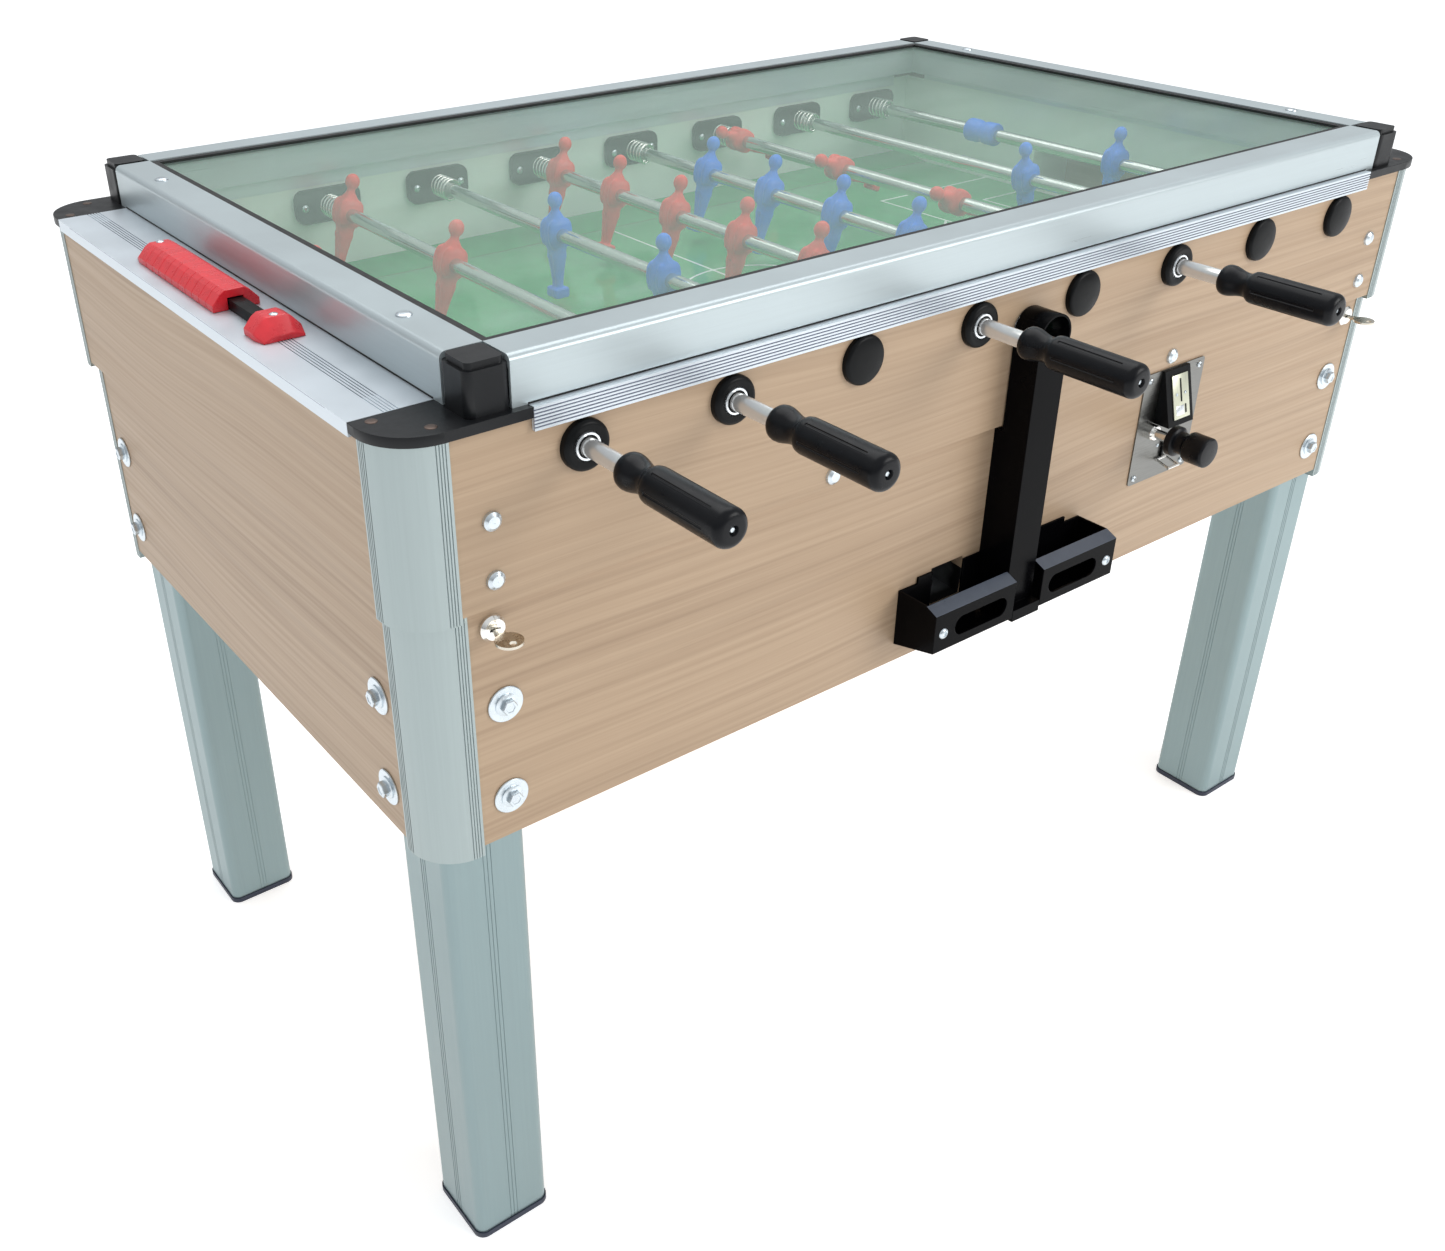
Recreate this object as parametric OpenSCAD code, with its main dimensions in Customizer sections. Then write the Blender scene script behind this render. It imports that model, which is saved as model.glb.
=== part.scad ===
// Covered coin-operated football table. A glazed playing box with eight telescopic rods
// sits on a four-legged cabinet and lifts on hinges along its rear edge.
// Origin: on the floor under the middle of the table. X runs along the length, Y from the
// front players to the rear players, and Z up. Millimetres.

/* [Field] */
// Length of the field between the goal walls
field_length = 1200; // [1050:1:1400]
// Width of the field between the long walls
field_width = 747; // [700:1:900]
// Height of the rod centres above the floor
rod_height = 886; // [820:1:960]
// Depth of the field below the rod centres
field_depth = 85; // [82:1:110]
// Half width of a goal mouth
goal_half_width = 112; // [90:1:130]
// Height of a goal mouth above the field
goal_height = 60; // [50:1:75]
// Depth of the ball pocket behind a goal wall
goal_pocket = 57.5; // [45:0.5:80]

/* [Playing box] */
// Thickness of every wall of the playing box
wall_thick = 18; // [16:0.5:24]
// Height of the wooden walls above the seam
box_wall_height = 153; // [145:1:190]
// Depth of the seam below the rod centres
seam_depth = 118; // [110:1:130]
// Thickness of the rim on top of the walls
rim_thick = 9; // [6:0.5:14]
// Thickness of the pale lining inside the walls
lining = 3.5; // [2:0.5:6]
// How far the playing box stands out past the cabinet
overhang = 8; // [5:0.5:15]

/* [Cabinet] */
// Height of the cabinet panels below the seam
cabinet_height = 238; // [180:1:320]
// Thickness of the cabinet panels
panel_thick = 17; // [12:0.5:24]
// Depth of the panel faces below the faces of the posts
panel_recess = 1; // [0.5:0.1:2]
// Width that a corner post shows on each face
post_width = 50; // [40:1:70]
// Radius of the corner posts
post_radius = 45; // [30:1:48]
// Thickness of the corner posts
post_thick = 17.5; // [12:0.5:20]
// Wall of the hollow aluminium sections
section_wall = 2.5; // [2:0.1:4]

/* [Legs] */
// Width of a square leg
leg_width = 85; // [70:1:100]
// Corner radius of a leg
leg_radius = 10; // [4:1:16]
// Height of the legs inside the cabinet
leg_grip = 200; // [120:1:220]
// Height of the plastic foot caps
foot_height = 7; // [5:0.5:20]
// Diameter of the leg bolt washers
washer_diameter = 34; // [24:1:40]

/* [Rods] */
// Outer diameter of the sliding tubes
tube_diameter = 16; // [14:0.5:18]
// Diameter of the fixed inner rods
core_diameter = 12; // [10:0.5:13]
// Radial running clearance of the rods
rod_play = 0.05; // [0.02:0.01:0.1]
// Length of the bumper springs
spring_length = 34; // [25:1:45]
// Outer diameter of the bumper springs
spring_diameter = 28; // [24:1:32]
// Thickness of the bearing plates
plate_thick = 8; // [5:0.5:12]
// Travel of a goalkeeper
keeper_travel = 160; // [120:1:180]
// Distance between the players of a five-player rod
pitch_five = 120; // [110:1:130]
// Distance between the players of a three-player rod
pitch_three = 200; // [160:1:220]
// Distance between the players of a two-player rod
pitch_two = 240; // [200:1:260]
// Length of a grip
grip_length = 127; // [100:1:150]
// Diameter of a grip
grip_diameter = 32; // [28:0.5:36]
// Length of tube that shows between the wall and a grip
tube_showing = 58; // [40:1:90]

/* [Players] */
// Half width of a player along the rod
player_half_width = 13; // [11:0.5:16]
// Reach of a player's foot below the rod centre
foot_reach = 73.5; // [66:0.5:74]
// Height of a player's head above the rod centre
head_reach = 46; // [40:1:50]
// Diameter of a player's head
head_diameter = 17.5; // [14:0.5:20]

/* [Lid] */
// Height of the lid frame above the rim
lid_height = 42; // [40:1:60]
// Width of the lid rails
lid_rail = 38; // [30:1:50]
// Distance from the ends of the playing box to the lid
lid_setback = 69.5; // [55:0.5:90]
// Distance from the long faces of the playing box to the lid
lid_side_setback = 3.5; // [2:0.5:12]
// Thickness of the glass
glass_thick = 4; // [4:0.5:6]
// Depth of the glass below the top of the lid
glass_depth = 4; // [3:0.5:8]

/* [Fittings] */
// Length of the ball tray
tray_length = 280; // [220:1:340]
// Depth of the ball tray from the cabinet front
tray_depth = 54; // [50:1:80]
// Width of the ball column
column_width = 42; // [40:1:60]
// Depth of the ball column from the cabinet front
column_depth = 42; // [40:1:60]
// Radius of the hoop on top of the ball column
hoop_radius = 23; // [23:0.5:26]
// Length of a score counter
score_length = 298; // [260:1:340]
// Length of one score bead
bead_length = 16; // [12:0.5:18]
// Number of beads on a score counter
bead_count = 10; // [5:1:10]

/* [Hidden] */
$fn = 48;
eps = 0.01;
cut = 1;

// Playing box
box_half_x = field_length / 2 + wall_thick + goal_pocket + wall_thick;
box_half_y = field_width / 2 + wall_thick;
seam_z = rod_height - seam_depth;
wall_top = seam_z + box_wall_height;
rim_top = wall_top + rim_thick;
field_z = rod_height - field_depth;
field_thick = 12;
field_gap = 0.5;
ramp_width = 52;
ramp_height = 9;
wall_seat = 1;
post_lip = 5;
lip_clear = 1.5;

// Cabinet
cab_half_x = box_half_x - overhang;
cab_half_y = box_half_y - overhang;
cab_bottom = seam_z - cabinet_height;
cab_top = seam_z - wall_seat;
post_drop = 10;
floor_raise = 12;
floor_thick = 10;

// Legs
leg_x = cab_half_x - panel_thick - panel_recess - leg_width / 2;
leg_y = cab_half_y - panel_thick - panel_recess - leg_width / 2;
leg_base = 3;
leg_top = cab_bottom + leg_grip;
cap_rim = 1.5;
fit_gap = 0.2;
bolt_heights = [seam_z - 100, seam_z - 196];
bolt_inset = 80;
bolt_inset_y = 75;
bolt_r = 4;
bolt_gap = 0.3;
bolt_shank = panel_thick + 10;

// Rods, counted from the left. A side of -1 puts the grip at the front.
rod_count = 8;
rod_pitch = field_length / rod_count;
rod_side = [-1, -1, 1, -1, 1, -1, 1, 1];
rod_players = [1, 2, 3, 5, 5, 3, 2, 1];
rod_tilt = [0, 17, 0, 14, 14, -66, -10, 5];
rod_pulled = [0, 0, 0.08, 0, 0.27, 0, 0.045, 0];
tube_r = tube_diameter / 2;
core_r = core_diameter / 2;
spring_tip = field_width / 2 - plate_thick - spring_length;
stop_clear = 0.5;
player_stop = spring_tip - stop_clear - player_half_width;
collar_length = 51;
collar_r = 15.5;
collar_offset = spring_tip - stop_clear - collar_length / 2 - keeper_travel / 2;
tube_nose = 15;
tube_inner_end = player_stop + player_half_width + tube_nose;
grip_start = box_half_y + tube_showing;
grip_end = grip_start + grip_length;
core_end = -170;
core_head_r = 9;
core_head = 5;
wall_hole_r = 13;
bush_r = 22;
cap_r = 23.5;
bush_out = 9;
plate_length = 84;
plate_height = 40;
plate_corner = 12;
plate_screw = 31;

// Lid
lid_half_x = box_half_x - lid_setback;
lid_half_y = box_half_y - lid_side_setback;
lid_top = rim_top + lid_height;
glass_top = lid_top - glass_depth;
glass_hold = 10;
glass_gap = 0.2;
lid_edge_r = 6;
block_r = 7;

// Rim
rim_rail_out = 3.5;
cover_out = 4;
cover_arm = 122;
cover_side = 55.5;
rail_lip = 12;
profile_lip = 11;
profile_out = 4;

// Fittings on the cabinet front
front_y = -(cab_half_y - panel_recess);
column_foot = seam_z - 203;
inlet_z = rod_height - 20;
inlet_r = 21;
tray_low = seam_z - 203;
tray_high = seam_z - 153;
sheet = 2.5;
coin_x = 274.5;
coin_width = 105;
coin_height = 134;
coin_z = seam_z - 75;
coin_plate_thick = 1.5;
plunger_x = 244;
plunger_z = seam_z - 78;
plunger_r = 5.5;
plunger_hole_r = 6;
lock_x = cab_half_x - 72;
lock_z = seam_z - 22;
lock_hole_r = 8.5;
key_blade = 1.2;
chute_width = 46;
chute_wall = 2;
chute_height = 30;
exit_x = -70;

// Hinges along the rear edge
hinge_y = box_half_y + 6;
hinge_r = 5.5;
hinge_pin_r = 2.5;
hinge_places = [-field_length * 0.4, 0, field_length * 0.4];
hinge_half = 45;
leaf = 3;
knuckle = 15;

// Score counters
score_x = box_half_x - 33.5;
score_width = 44;
score_height = 18;
score_block = 34;
bar_width = 14;
bar_height = 10.5;
bead_pitch = bead_length + 0.3;

function rod_x(k) = (k - (rod_count + 1) / 2) * rod_pitch;
function side_of(k) = rod_side[k - 1];
function players_of(k) = rod_players[k - 1];
function tilt_of(k) = rod_tilt[k - 1];
function pitch_of(n) = n == 5 ? pitch_five : n == 3 ? pitch_three : pitch_two;
function span_of(n) = (n - 1) * (n > 1 ? pitch_of(n) : 0);
function travel_of(n) = n == 1 ? keeper_travel : 2 * player_stop - span_of(n);
function pulled_out(k) = rod_pulled[k - 1] * travel_of(players_of(k));
// Place of player i along a rod whose grip is at the front, fully pushed in
function player_place(n, i) = n == 1 ? keeper_travel / 2 : player_stop - i * pitch_of(n);

// Half of what the grips reach further out at the rear than at the front
function reach_out(side) = max([for (k = [1 : rod_count]) side_of(k) == side ? pulled_out(k) : 0]);
centre_shift = (reach_out(1) - reach_out(-1)) / 2;

// ---------- shared shapes ----------

// Puts the middle of the whole table, grips included, over the origin
module centred() {
    translate([0, -centre_shift, 0]) children();
}

module mirror_x() {
    children();
    mirror([1, 0, 0]) children();
}

module mirror_y() {
    children();
    mirror([0, 1, 0]) children();
}

// Puts a shape, drawn with its outer corner at the origin, into all four corners
module four_corners(half_x, half_y) {
    mirror_x() mirror_y() translate([half_x, half_y, 0]) children();
}

module rounded_square(width, depth, r) {
    square([width - 2 * r, depth], center = true);
    square([width, depth - 2 * r], center = true);
    for (x = [-1, 1], y = [-1, 1])
        translate([x * (width / 2 - r), y * (depth / 2 - r)]) circle(r);
}

// A cylinder along Y from y0 to y1
module y_rod(r, y0, y1) {
    translate([0, y1, 0]) rotate([90, 0, 0]) cylinder(r = r, h = y1 - y0);
}

// A turned shape along -Y from an outline of [radius, distance] points
module y_turned(points) {
    rotate([90, 0, 0]) rotate_extrude() polygon(points);
}

// A block given by its lowest and highest corners
module block(low, high) {
    translate(low) cube(high - low);
}

module along_y(y0, y1) {
    translate([0, y1, 0]) rotate([90, 0, 0]) linear_extrude(height = y1 - y0) children();
}

module along_x(x0, x1) {
    translate([x0, 0, 0]) rotate([90, 0, 90]) linear_extrude(height = x1 - x0) children();
}

// ---------- legs and cabinet ----------

module leg_section() {
    groove = 1;
    difference() {
        rounded_square(leg_width, leg_width, leg_radius);
        rounded_square(leg_width - 6, leg_width - 6, leg_radius - 3);
        for (turn = [0 : 3], k = [-1 : 1])
            rotate(90 * turn)
                translate([leg_width / 2 - groove / 2, k * 4 - groove / 2])
                    square([groove, groove]);
    }
}

module legs() {
    color([0.66, 0.72, 0.75]) centred()
        difference() {
            for (x = [-1, 1], y = [-1, 1])
                translate([x * leg_x, y * leg_y, leg_base])
                    linear_extrude(height = leg_top - leg_base) leg_section();
            at_leg_bolts() bolt_hole();
        }
}

module leg_foot() {
    outer = leg_width + 2 * cap_rim;
    plug = leg_width - 6 - 2 * fit_gap;
    difference() {
        linear_extrude(height = foot_height) rounded_square(outer, outer, leg_radius + cap_rim);
        translate([0, 0, leg_base])
            linear_extrude(height = foot_height)
                rounded_square(leg_width + fit_gap, leg_width + fit_gap, leg_radius);
    }
    translate([0, 0, leg_base - eps])
        linear_extrude(height = 25) rounded_square(plug, plug, leg_radius - 3);
}

module leg_feet() {
    color([0.1, 0.12, 0.2]) centred()
        for (x = [-1, 1], y = [-1, 1]) translate([x * leg_x, y * leg_y, 0]) leg_foot();
}

function arc_depth(x) = x < post_radius
    ? post_radius - sqrt(pow(post_radius, 2) - pow(post_radius - x, 2)) : 0;

// Corner section with its outer corner at the origin and its body towards -X and -Y
module post_solid(thick, inset) {
    r = post_radius;
    flat = post_width - r;
    difference() {
        intersection() {
            union() {
                translate([-r, -r]) circle(r - inset);
                translate([-post_width, -r]) square([flat, r - inset]);
                translate([-r, -post_width]) square([r - inset, flat]);
            }
            translate([-post_width + inset, -post_width + inset]) square(post_width);
        }
        translate([-post_width - cut, -post_width - cut])
            square(post_width + cut - thick);
    }
}

// Hollow aluminium corner section with a solid web and fine grooves beside the panels
module post_section() {
    groove = 0.9;
    web = 26;
    difference() {
        post_solid(post_thick, 0);
        difference() {
            post_solid(post_thick - section_wall, section_wall);
            translate([-web, -web]) square(web + cut);
        }
        for (k = [1 : 4]) {
            at = post_width - 2.6 * k;
            translate([-at, -arc_depth(at) - groove]) square([1, groove + cut]);
            translate([-arc_depth(at) - groove, -at]) square([groove + cut, 1]);
        }
    }
}

module lower_posts() {
    color([0.66, 0.72, 0.75]) centred()
        four_corners(cab_half_x, cab_half_y)
            translate([0, 0, cab_bottom - post_drop])
                linear_extrude(height = cab_top - cab_bottom + post_drop) post_section();
}

module front_holes() {
    translate([plunger_x, 0, plunger_z]) y_rod(plunger_hole_r, -cab_half_y, -cab_half_y + 40);
    for (x = [-lock_x, lock_x])
        translate([x, 0, lock_z]) y_rod(lock_hole_r, -cab_half_y, -cab_half_y + 40);
    block([exit_x - chute_width / 2, -cab_half_y, tray_low + 14],
        [exit_x + chute_width / 2, -cab_half_y + 40, tray_low + 14 + chute_width]);
}

module lower_panels() {
    long_x = cab_half_x - post_width - fit_gap / 2;
    long_y = cab_half_y - post_width - fit_gap / 2;
    outer_x = cab_half_x - panel_recess;
    outer_y = cab_half_y - panel_recess;
    color([0.76, 0.62, 0.48]) centred() {
        difference() {
            union() {
                block([-long_x, -outer_y, cab_bottom], [long_x, -outer_y + panel_thick, cab_top]);
                block([-long_x, outer_y - panel_thick, cab_bottom], [long_x, outer_y, cab_top]);
                mirror_x()
                    block([outer_x - panel_thick, -long_y, cab_bottom], [outer_x, long_y, cab_top]);
            }
            front_holes();
            at_leg_bolts() bolt_hole();
        }
    }
}

module cabinet_floor() {
    inner_x = cab_half_x - panel_recess - panel_thick - field_gap;
    inner_y = cab_half_y - panel_recess - panel_thick - field_gap;
    notch = leg_width + 4;
    color([0.55, 0.45, 0.34]) centred()
        difference() {
            block([-inner_x, -inner_y, cab_bottom + floor_raise],
                [inner_x, inner_y, cab_bottom + floor_raise + floor_thick]);
            for (x = [-1, 1], y = [-1, 1])
                translate([x * leg_x, y * leg_y, cab_bottom + floor_raise - cut])
                    linear_extrude(height = floor_thick + 2 * cut) square(notch, center = true);
        }
}

// Puts a shape on the outer face at every leg bolt, with +Z pointing out of the table
module at_leg_bolts() {
    for (x = [-1, 1], y = [-1, 1], z = bolt_heights) {
        translate([x * (cab_half_x - bolt_inset), y * (cab_half_y - panel_recess), z])
            rotate([-90 * y, 0, 0]) children();
        translate([x * (cab_half_x - panel_recess), y * (cab_half_y - bolt_inset_y), z])
            rotate([0, 90 * x, 0]) children();
    }
}

module bolt_hole() {
    translate([0, 0, -bolt_shank - 2]) cylinder(r = bolt_r + bolt_gap, h = bolt_shank + 3);
}

// Hex bolt on a washer, with its shank going down through the panel and the leg wall
module leg_bolt() {
    cylinder(r = washer_diameter / 2, h = 1.6);
    cylinder(r = 9, h = 8, $fn = 6);
    translate([0, 0, -bolt_shank]) cylinder(r = bolt_r, h = bolt_shank + cut);
}

module leg_bolts() {
    color([0.8, 0.82, 0.85]) centred() at_leg_bolts() leg_bolt();
}

// ---------- ball tray, column and chute ----------

module tray_outline() {
    polygon([[0, tray_low - 14], [-tray_depth, tray_low], [-tray_depth, tray_high - 6],
        [-tray_depth + 14, tray_high], [0, tray_high]]);
}

module tray_hollow() {
    polygon([[-sheet, tray_low - 11 + sheet], [-tray_depth + sheet, tray_low + sheet],
        [-tray_depth + sheet, tray_high - 8], [-tray_depth + 15, tray_high - sheet],
        [-tray_depth + 15, tray_high + cut], [-sheet, tray_high + cut]]);
}

module tray_window(x0, x1) {
    z = (tray_low + tray_high) / 2 - 4;
    translate([0, front_y - tray_depth + sheet + cut, z])
        rotate([90, 0, 0])
            linear_extrude(height = sheet + 2 * cut) {
                translate([(x0 + x1) / 2, 0]) square([x1 - x0 - 22, 22], center = true);
                for (x = [x0 + 11, x1 - 11]) translate([x, 0]) circle(11);
            }
}

module ball_tray() {
    half = tray_length / 2;
    column_gap = column_width / 2 + fit_gap;
    lip_half = half - 26;
    color([0.07, 0.07, 0.08]) centred()
        difference() {
            union() {
                translate([0, front_y, 0]) along_x(-half, half) tray_outline();
                block([-lip_half, front_y - sheet, tray_high - cut],
                    [lip_half, front_y, tray_high + 7]);
            }
            translate([0, front_y, 0]) along_x(-half + sheet, half - sheet) tray_hollow();
            block([-column_gap, front_y - tray_depth - cut, tray_low - 20],
                [column_gap, front_y + cut, tray_high + 20]);
            tray_window(-half + 30, -column_width / 2 - 12);
            tray_window(column_width / 2 + 12, half - 30);
            block([exit_x - chute_width / 2, front_y - sheet - cut, tray_low + 14],
                [exit_x + chute_width / 2, front_y + cut, tray_low + 14 + chute_width]);
        }
}

module column_outline(half, r) {
    translate([-half, column_foot - 8]) square([2 * half, inlet_z - column_foot + 8]);
    translate([0, inlet_z]) circle(r);
}

module ball_column() {
    half = column_width / 2;
    back = front_y;
    front = front_y - column_depth;
    box_face = -box_half_y - 0.6;
    color([0.05, 0.05, 0.06]) centred()
        difference() {
            union() {
                along_y(front, back) translate([-half, column_foot])
                    square([2 * half, cab_top - 4 - column_foot]);
                along_y(front, box_face) column_outline(half, hoop_radius);
                block([-half, front - 12, column_foot - 5], [half, front + cut, column_foot + 8]);
            }
            along_y(front + sheet, back + cut) translate([-half + sheet, column_foot + sheet])
                square([2 * (half - sheet), inlet_z - column_foot - 40]);
            along_y(front - cut, back + cut) translate([0, inlet_z]) circle(hoop_radius - sheet);
        }
}

// U section of the return chute, open at the top, falling along X from a closed end
module chute_run(x0, z0, x1, z1) {
    slope = atan((z1 - z0) / (x1 - x0));
    run = (x1 - x0) / cos(slope);
    half = chute_width / 2;
    translate([x0, 0, z0]) rotate([0, -slope, 0]) difference() {
        block([0, -half, 0], [run, half, chute_height]);
        block([chute_wall, -half + chute_wall, chute_wall],
            [run + cut, half - chute_wall, chute_height + cut]);
    }
}

module ball_chute() {
    end_x = cab_half_x - panel_recess - panel_thick - 1;
    half = chute_width / 2;
    join_z = tray_low + 62;
    high_z = seam_z - 48;
    exit_z = tray_low + 15.5;
    far_y = half;
    near_y = -(cab_half_y - panel_recess) + 1;
    fall = atan((join_z - 14 - exit_z) / (far_y - near_y));
    color([0.75, 0.76, 0.78]) centred() {
        chute_run(-end_x, high_z, exit_x - half - 1, join_z);
        mirror([1, 0, 0]) chute_run(-end_x, high_z, -exit_x - half - 1, join_z);
        translate([exit_x, near_y, exit_z]) rotate([fall, 0, 0]) difference() {
            block([-half + fit_gap, 0, 0], [half - fit_gap, (far_y - near_y) / cos(fall), chute_height]);
            block([-half + chute_wall, -cut, chute_wall],
                [half - chute_wall, (far_y - near_y) / cos(fall) - chute_wall, chute_height + cut]);
        }
    }
}

module cash_box() {
    low = [coin_x - 60, -(cab_half_y - panel_thick - 8), cab_bottom + floor_raise + floor_thick];
    high = low + [120, 150, 78];
    color([0.55, 0.57, 0.6]) centred()
        difference() {
            block(low, high);
            block(low + [sheet, sheet, sheet], high + [-sheet, -sheet, cut]);
        }
}

// ---------- coin mechanism and locks ----------

module coin_plate() {
    thick = coin_plate_thick;
    color([0.45, 0.46, 0.46]) centred()
        difference() {
            union() {
                translate([coin_x, front_y, coin_z]) rotate([90, 0, 0])
                    linear_extrude(height = thick) rounded_square(coin_width, coin_height, 4);
                for (x = [-1, 1], z = [-1, 1])
                    translate([coin_x + x * (coin_width / 2 - 9), front_y - thick + eps,
                        coin_z + z * (coin_height / 2 - 8)])
                        rotate([90, 0, 0]) cylinder(r1 = 4, r2 = 2.5, h = 2);
            }
            translate([plunger_x, 0, plunger_z])
                y_rod(plunger_hole_r, front_y - 5, front_y + 5);
        }
}

module coin_bezel() {
    top = coin_z + coin_height / 2 - 1;
    low = top - 62;
    left = coin_x - 24;
    face = front_y - coin_plate_thick;
    color([0.06, 0.06, 0.07]) centred()
        difference() {
            along_x(left, left + 45)
                polygon([[face, low], [face - 20, low], [face - 3, top], [face, top]]);
            block([left + 21, face - 25, low + 22], [left + 23.5, face - 9, low + 50]);
        }
}

module coin_plunger() {
    shaft_out = front_y - 32;
    color([0.08, 0.08, 0.09]) centred()
        translate([plunger_x, 0, plunger_z]) {
            y_rod(plunger_r, shaft_out - cut, front_y + panel_thick + 20);
            translate([0, shaft_out, 0]) y_turned([[0, 0], [16, 0], [17, 1.5], [17, 8],
                [15.5, 9.5], [12.5, 10.5], [12.5, 21], [16, 23], [17, 25], [17, 45],
                [14.5, 48.5], [0, 48.5]]);
        }
}

module coin_return_loop() {
    reach = 18;
    wire = 1.5;
    half = 8.5;
    droop = 15;
    color([0.75, 0.76, 0.78]) centred()
        translate([coin_x, front_y - coin_plate_thick - wire - 0.6, coin_z - 44])
            rotate([droop, 0, 0]) {
                for (x = [-half, half]) translate([x, 0, 0]) y_rod(wire, -reach, 0);
                for (y = [-reach, 0])
                    translate([-half - wire, y, 0]) rotate([0, 90, 0])
                        cylinder(r = wire, h = 2 * (half + wire));
            }
}

module lock_barrel() {
    difference() {
        union() {
            y_turned([[0, 0], [12, 0], [12, 3], [9.5, 6], [0, 6]]);
            y_rod(lock_hole_r - 0.1, -cut, panel_thick + 6);
        }
        block([-5, -6 - cut, -1], [5, 3, 1]);
    }
}

// Two key locks and the guide sleeve of the coin plunger
module chrome_fittings() {
    plate = coin_plate_thick;
    color([0.75, 0.76, 0.78]) centred() {
        for (x = [-lock_x, lock_x]) translate([x, front_y, lock_z]) lock_barrel();
        translate([plunger_x, front_y - plate, plunger_z])
            y_turned([[plunger_r + rod_play, 0], [9, 0], [9, 8], [8, 10], [plunger_r + rod_play, 10]]);
    }
}

module key(x) {
    color([0.7, 0.68, 0.62]) centred()
        translate([x, front_y - 6.4, lock_z]) {
            block([-3.5, -9, -key_blade / 2], [3.5, 0, key_blade / 2]);
            translate([0, -19, -key_blade]) cylinder(r = 12, h = 2 * key_blade);
        }
}

module key_left() { key(-lock_x); }

module key_right() { key(lock_x); }

// ---------- playing box ----------

module rod_holes(y0, y1, r) {
    for (k = [1 : rod_count]) translate([rod_x(k), 0, rod_height]) y_rod(r, y0, y1);
}

module inlet_hole(y0, y1) {
    translate([0, 0, inlet_z]) y_rod(inlet_r, y0, y1);
}

module upper_panels() {
    long_x = box_half_x - post_width - fit_gap / 2;
    long_y = box_half_y - post_width - fit_gap / 2;
    outer_x = box_half_x - panel_recess;
    outer_y = box_half_y - panel_recess;
    inner_y = field_width / 2 + lining;
    inner_x = box_half_x - wall_thick;
    color([0.76, 0.62, 0.48]) centred() {
        difference() {
            block([-long_x, -outer_y, seam_z], [long_x, -inner_y, wall_top]);
            rod_holes(-outer_y - cut, -inner_y + cut, wall_hole_r);
            inlet_hole(-outer_y - cut, -inner_y + cut);
        }
        difference() {
            block([-long_x, inner_y, seam_z], [long_x, outer_y, wall_top]);
            rod_holes(inner_y - cut, outer_y + cut, wall_hole_r);
        }
        mirror_x() block([inner_x, -long_y, seam_z], [outer_x, long_y, wall_top]);
    }
}

module upper_posts() {
    color([0.66, 0.72, 0.75]) centred()
        difference() {
            four_corners(box_half_x, box_half_y)
                translate([0, 0, seam_z - post_lip])
                    linear_extrude(height = wall_top - seam_z + post_lip) post_section();
            translate([0, 0, seam_z - post_lip - cut])
                linear_extrude(height = post_lip + cut)
                    rounded_square(2 * (cab_half_x + lip_clear), 2 * (cab_half_y + lip_clear),
                        post_radius);
        }
}

module goal_wall() {
    face = field_length / 2;
    back = face + wall_thick;
    pocket = back + fit_gap;
    pocket_end = box_half_x - wall_thick;
    half = field_width / 2 - fit_gap;
    cheek = goal_half_width + 6;
    difference() {
        block([face, -half, field_z - field_thick], [back, half, wall_top - eps]);
        block([face - cut, -goal_half_width, field_z],
            [back + cut, goal_half_width, field_z + goal_height]);
    }
    mirror_y() {
        block([pocket, goal_half_width, seam_z + 2], [pocket_end, cheek, wall_top - 5]);
        block([pocket, chute_width / 2 - chute_wall, seam_z + 2],
            [pocket_end, cheek, seam_z + 8]);
    }
}

module inner_walls() {
    inner_y = field_width / 2;
    end_x = box_half_x - post_width - 1;
    color([0.8, 0.86, 0.82]) centred() {
        difference() {
            block([-end_x, -inner_y - lining, seam_z], [end_x, -inner_y, wall_top - eps]);
            rod_holes(-inner_y - lining - cut, -inner_y + cut, wall_hole_r);
            inlet_hole(-inner_y - lining - cut, -inner_y + cut);
        }
        difference() {
            block([-end_x, inner_y, seam_z], [end_x, inner_y + lining, wall_top - eps]);
            rod_holes(inner_y - cut, inner_y + lining + cut, wall_hole_r);
        }
        mirror_x() goal_wall();
    }
}

module playfield() {
    half_x = field_length / 2 - fit_gap;
    half_y = field_width / 2 - fit_gap;
    color([0.35, 0.62, 0.42]) centred() {
        block([-half_x, -half_y, field_z - field_thick], [half_x, half_y, field_z]);
        mirror_y() along_x(-half_x, half_x)
            polygon([[half_y - ramp_width, field_z], [half_y, field_z],
                [half_y, field_z + ramp_height]]);
    }
}

// Aluminium cap over a long wall: ribbed lip outside, plain lip inside
module side_cap_section() {
    inner = field_width / 2 - 1.5;
    outer = box_half_y + profile_out;
    rib = (rim_thick + profile_lip) / 7;
    difference() {
        polygon([[inner, rim_top], [inner, wall_top - 11.5], [inner + 1.5, wall_top - 11.5],
            [inner + 1.5, wall_top], [box_half_y, wall_top], [box_half_y, rim_top - rim_thick - profile_lip],
            [outer, rim_top - rim_thick - profile_lip], [outer, rim_top]]);
        for (k = [1 : 6])
            translate([outer - 1.2, rim_top - rib * k - 0.6]) square([1.2 + cut, 1.2]);
    }
}

module end_rail() {
    half = box_half_y - cover_side;
    inner = field_length / 2 - 1;
    outer = box_half_x + rim_rail_out;
    difference() {
        union() {
            block([inner, -half, wall_top], [outer, half, rim_top]);
            block([box_half_x, -half, rim_top - rail_lip], [outer, half, rim_top]);
        }
        for (k = [-2 : 2])
            block([score_x + 3 * k - 0.5, -half - cut, rim_top - 0.8],
                [score_x + 3 * k + 0.5, half + cut, rim_top + cut]);
    }
}

module rim_rails() {
    half = box_half_x - cover_arm;
    color([0.78, 0.85, 0.9]) centred() {
        mirror_y() along_x(-half, half) side_cap_section();
        mirror_x() end_rail();
    }
}

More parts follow.
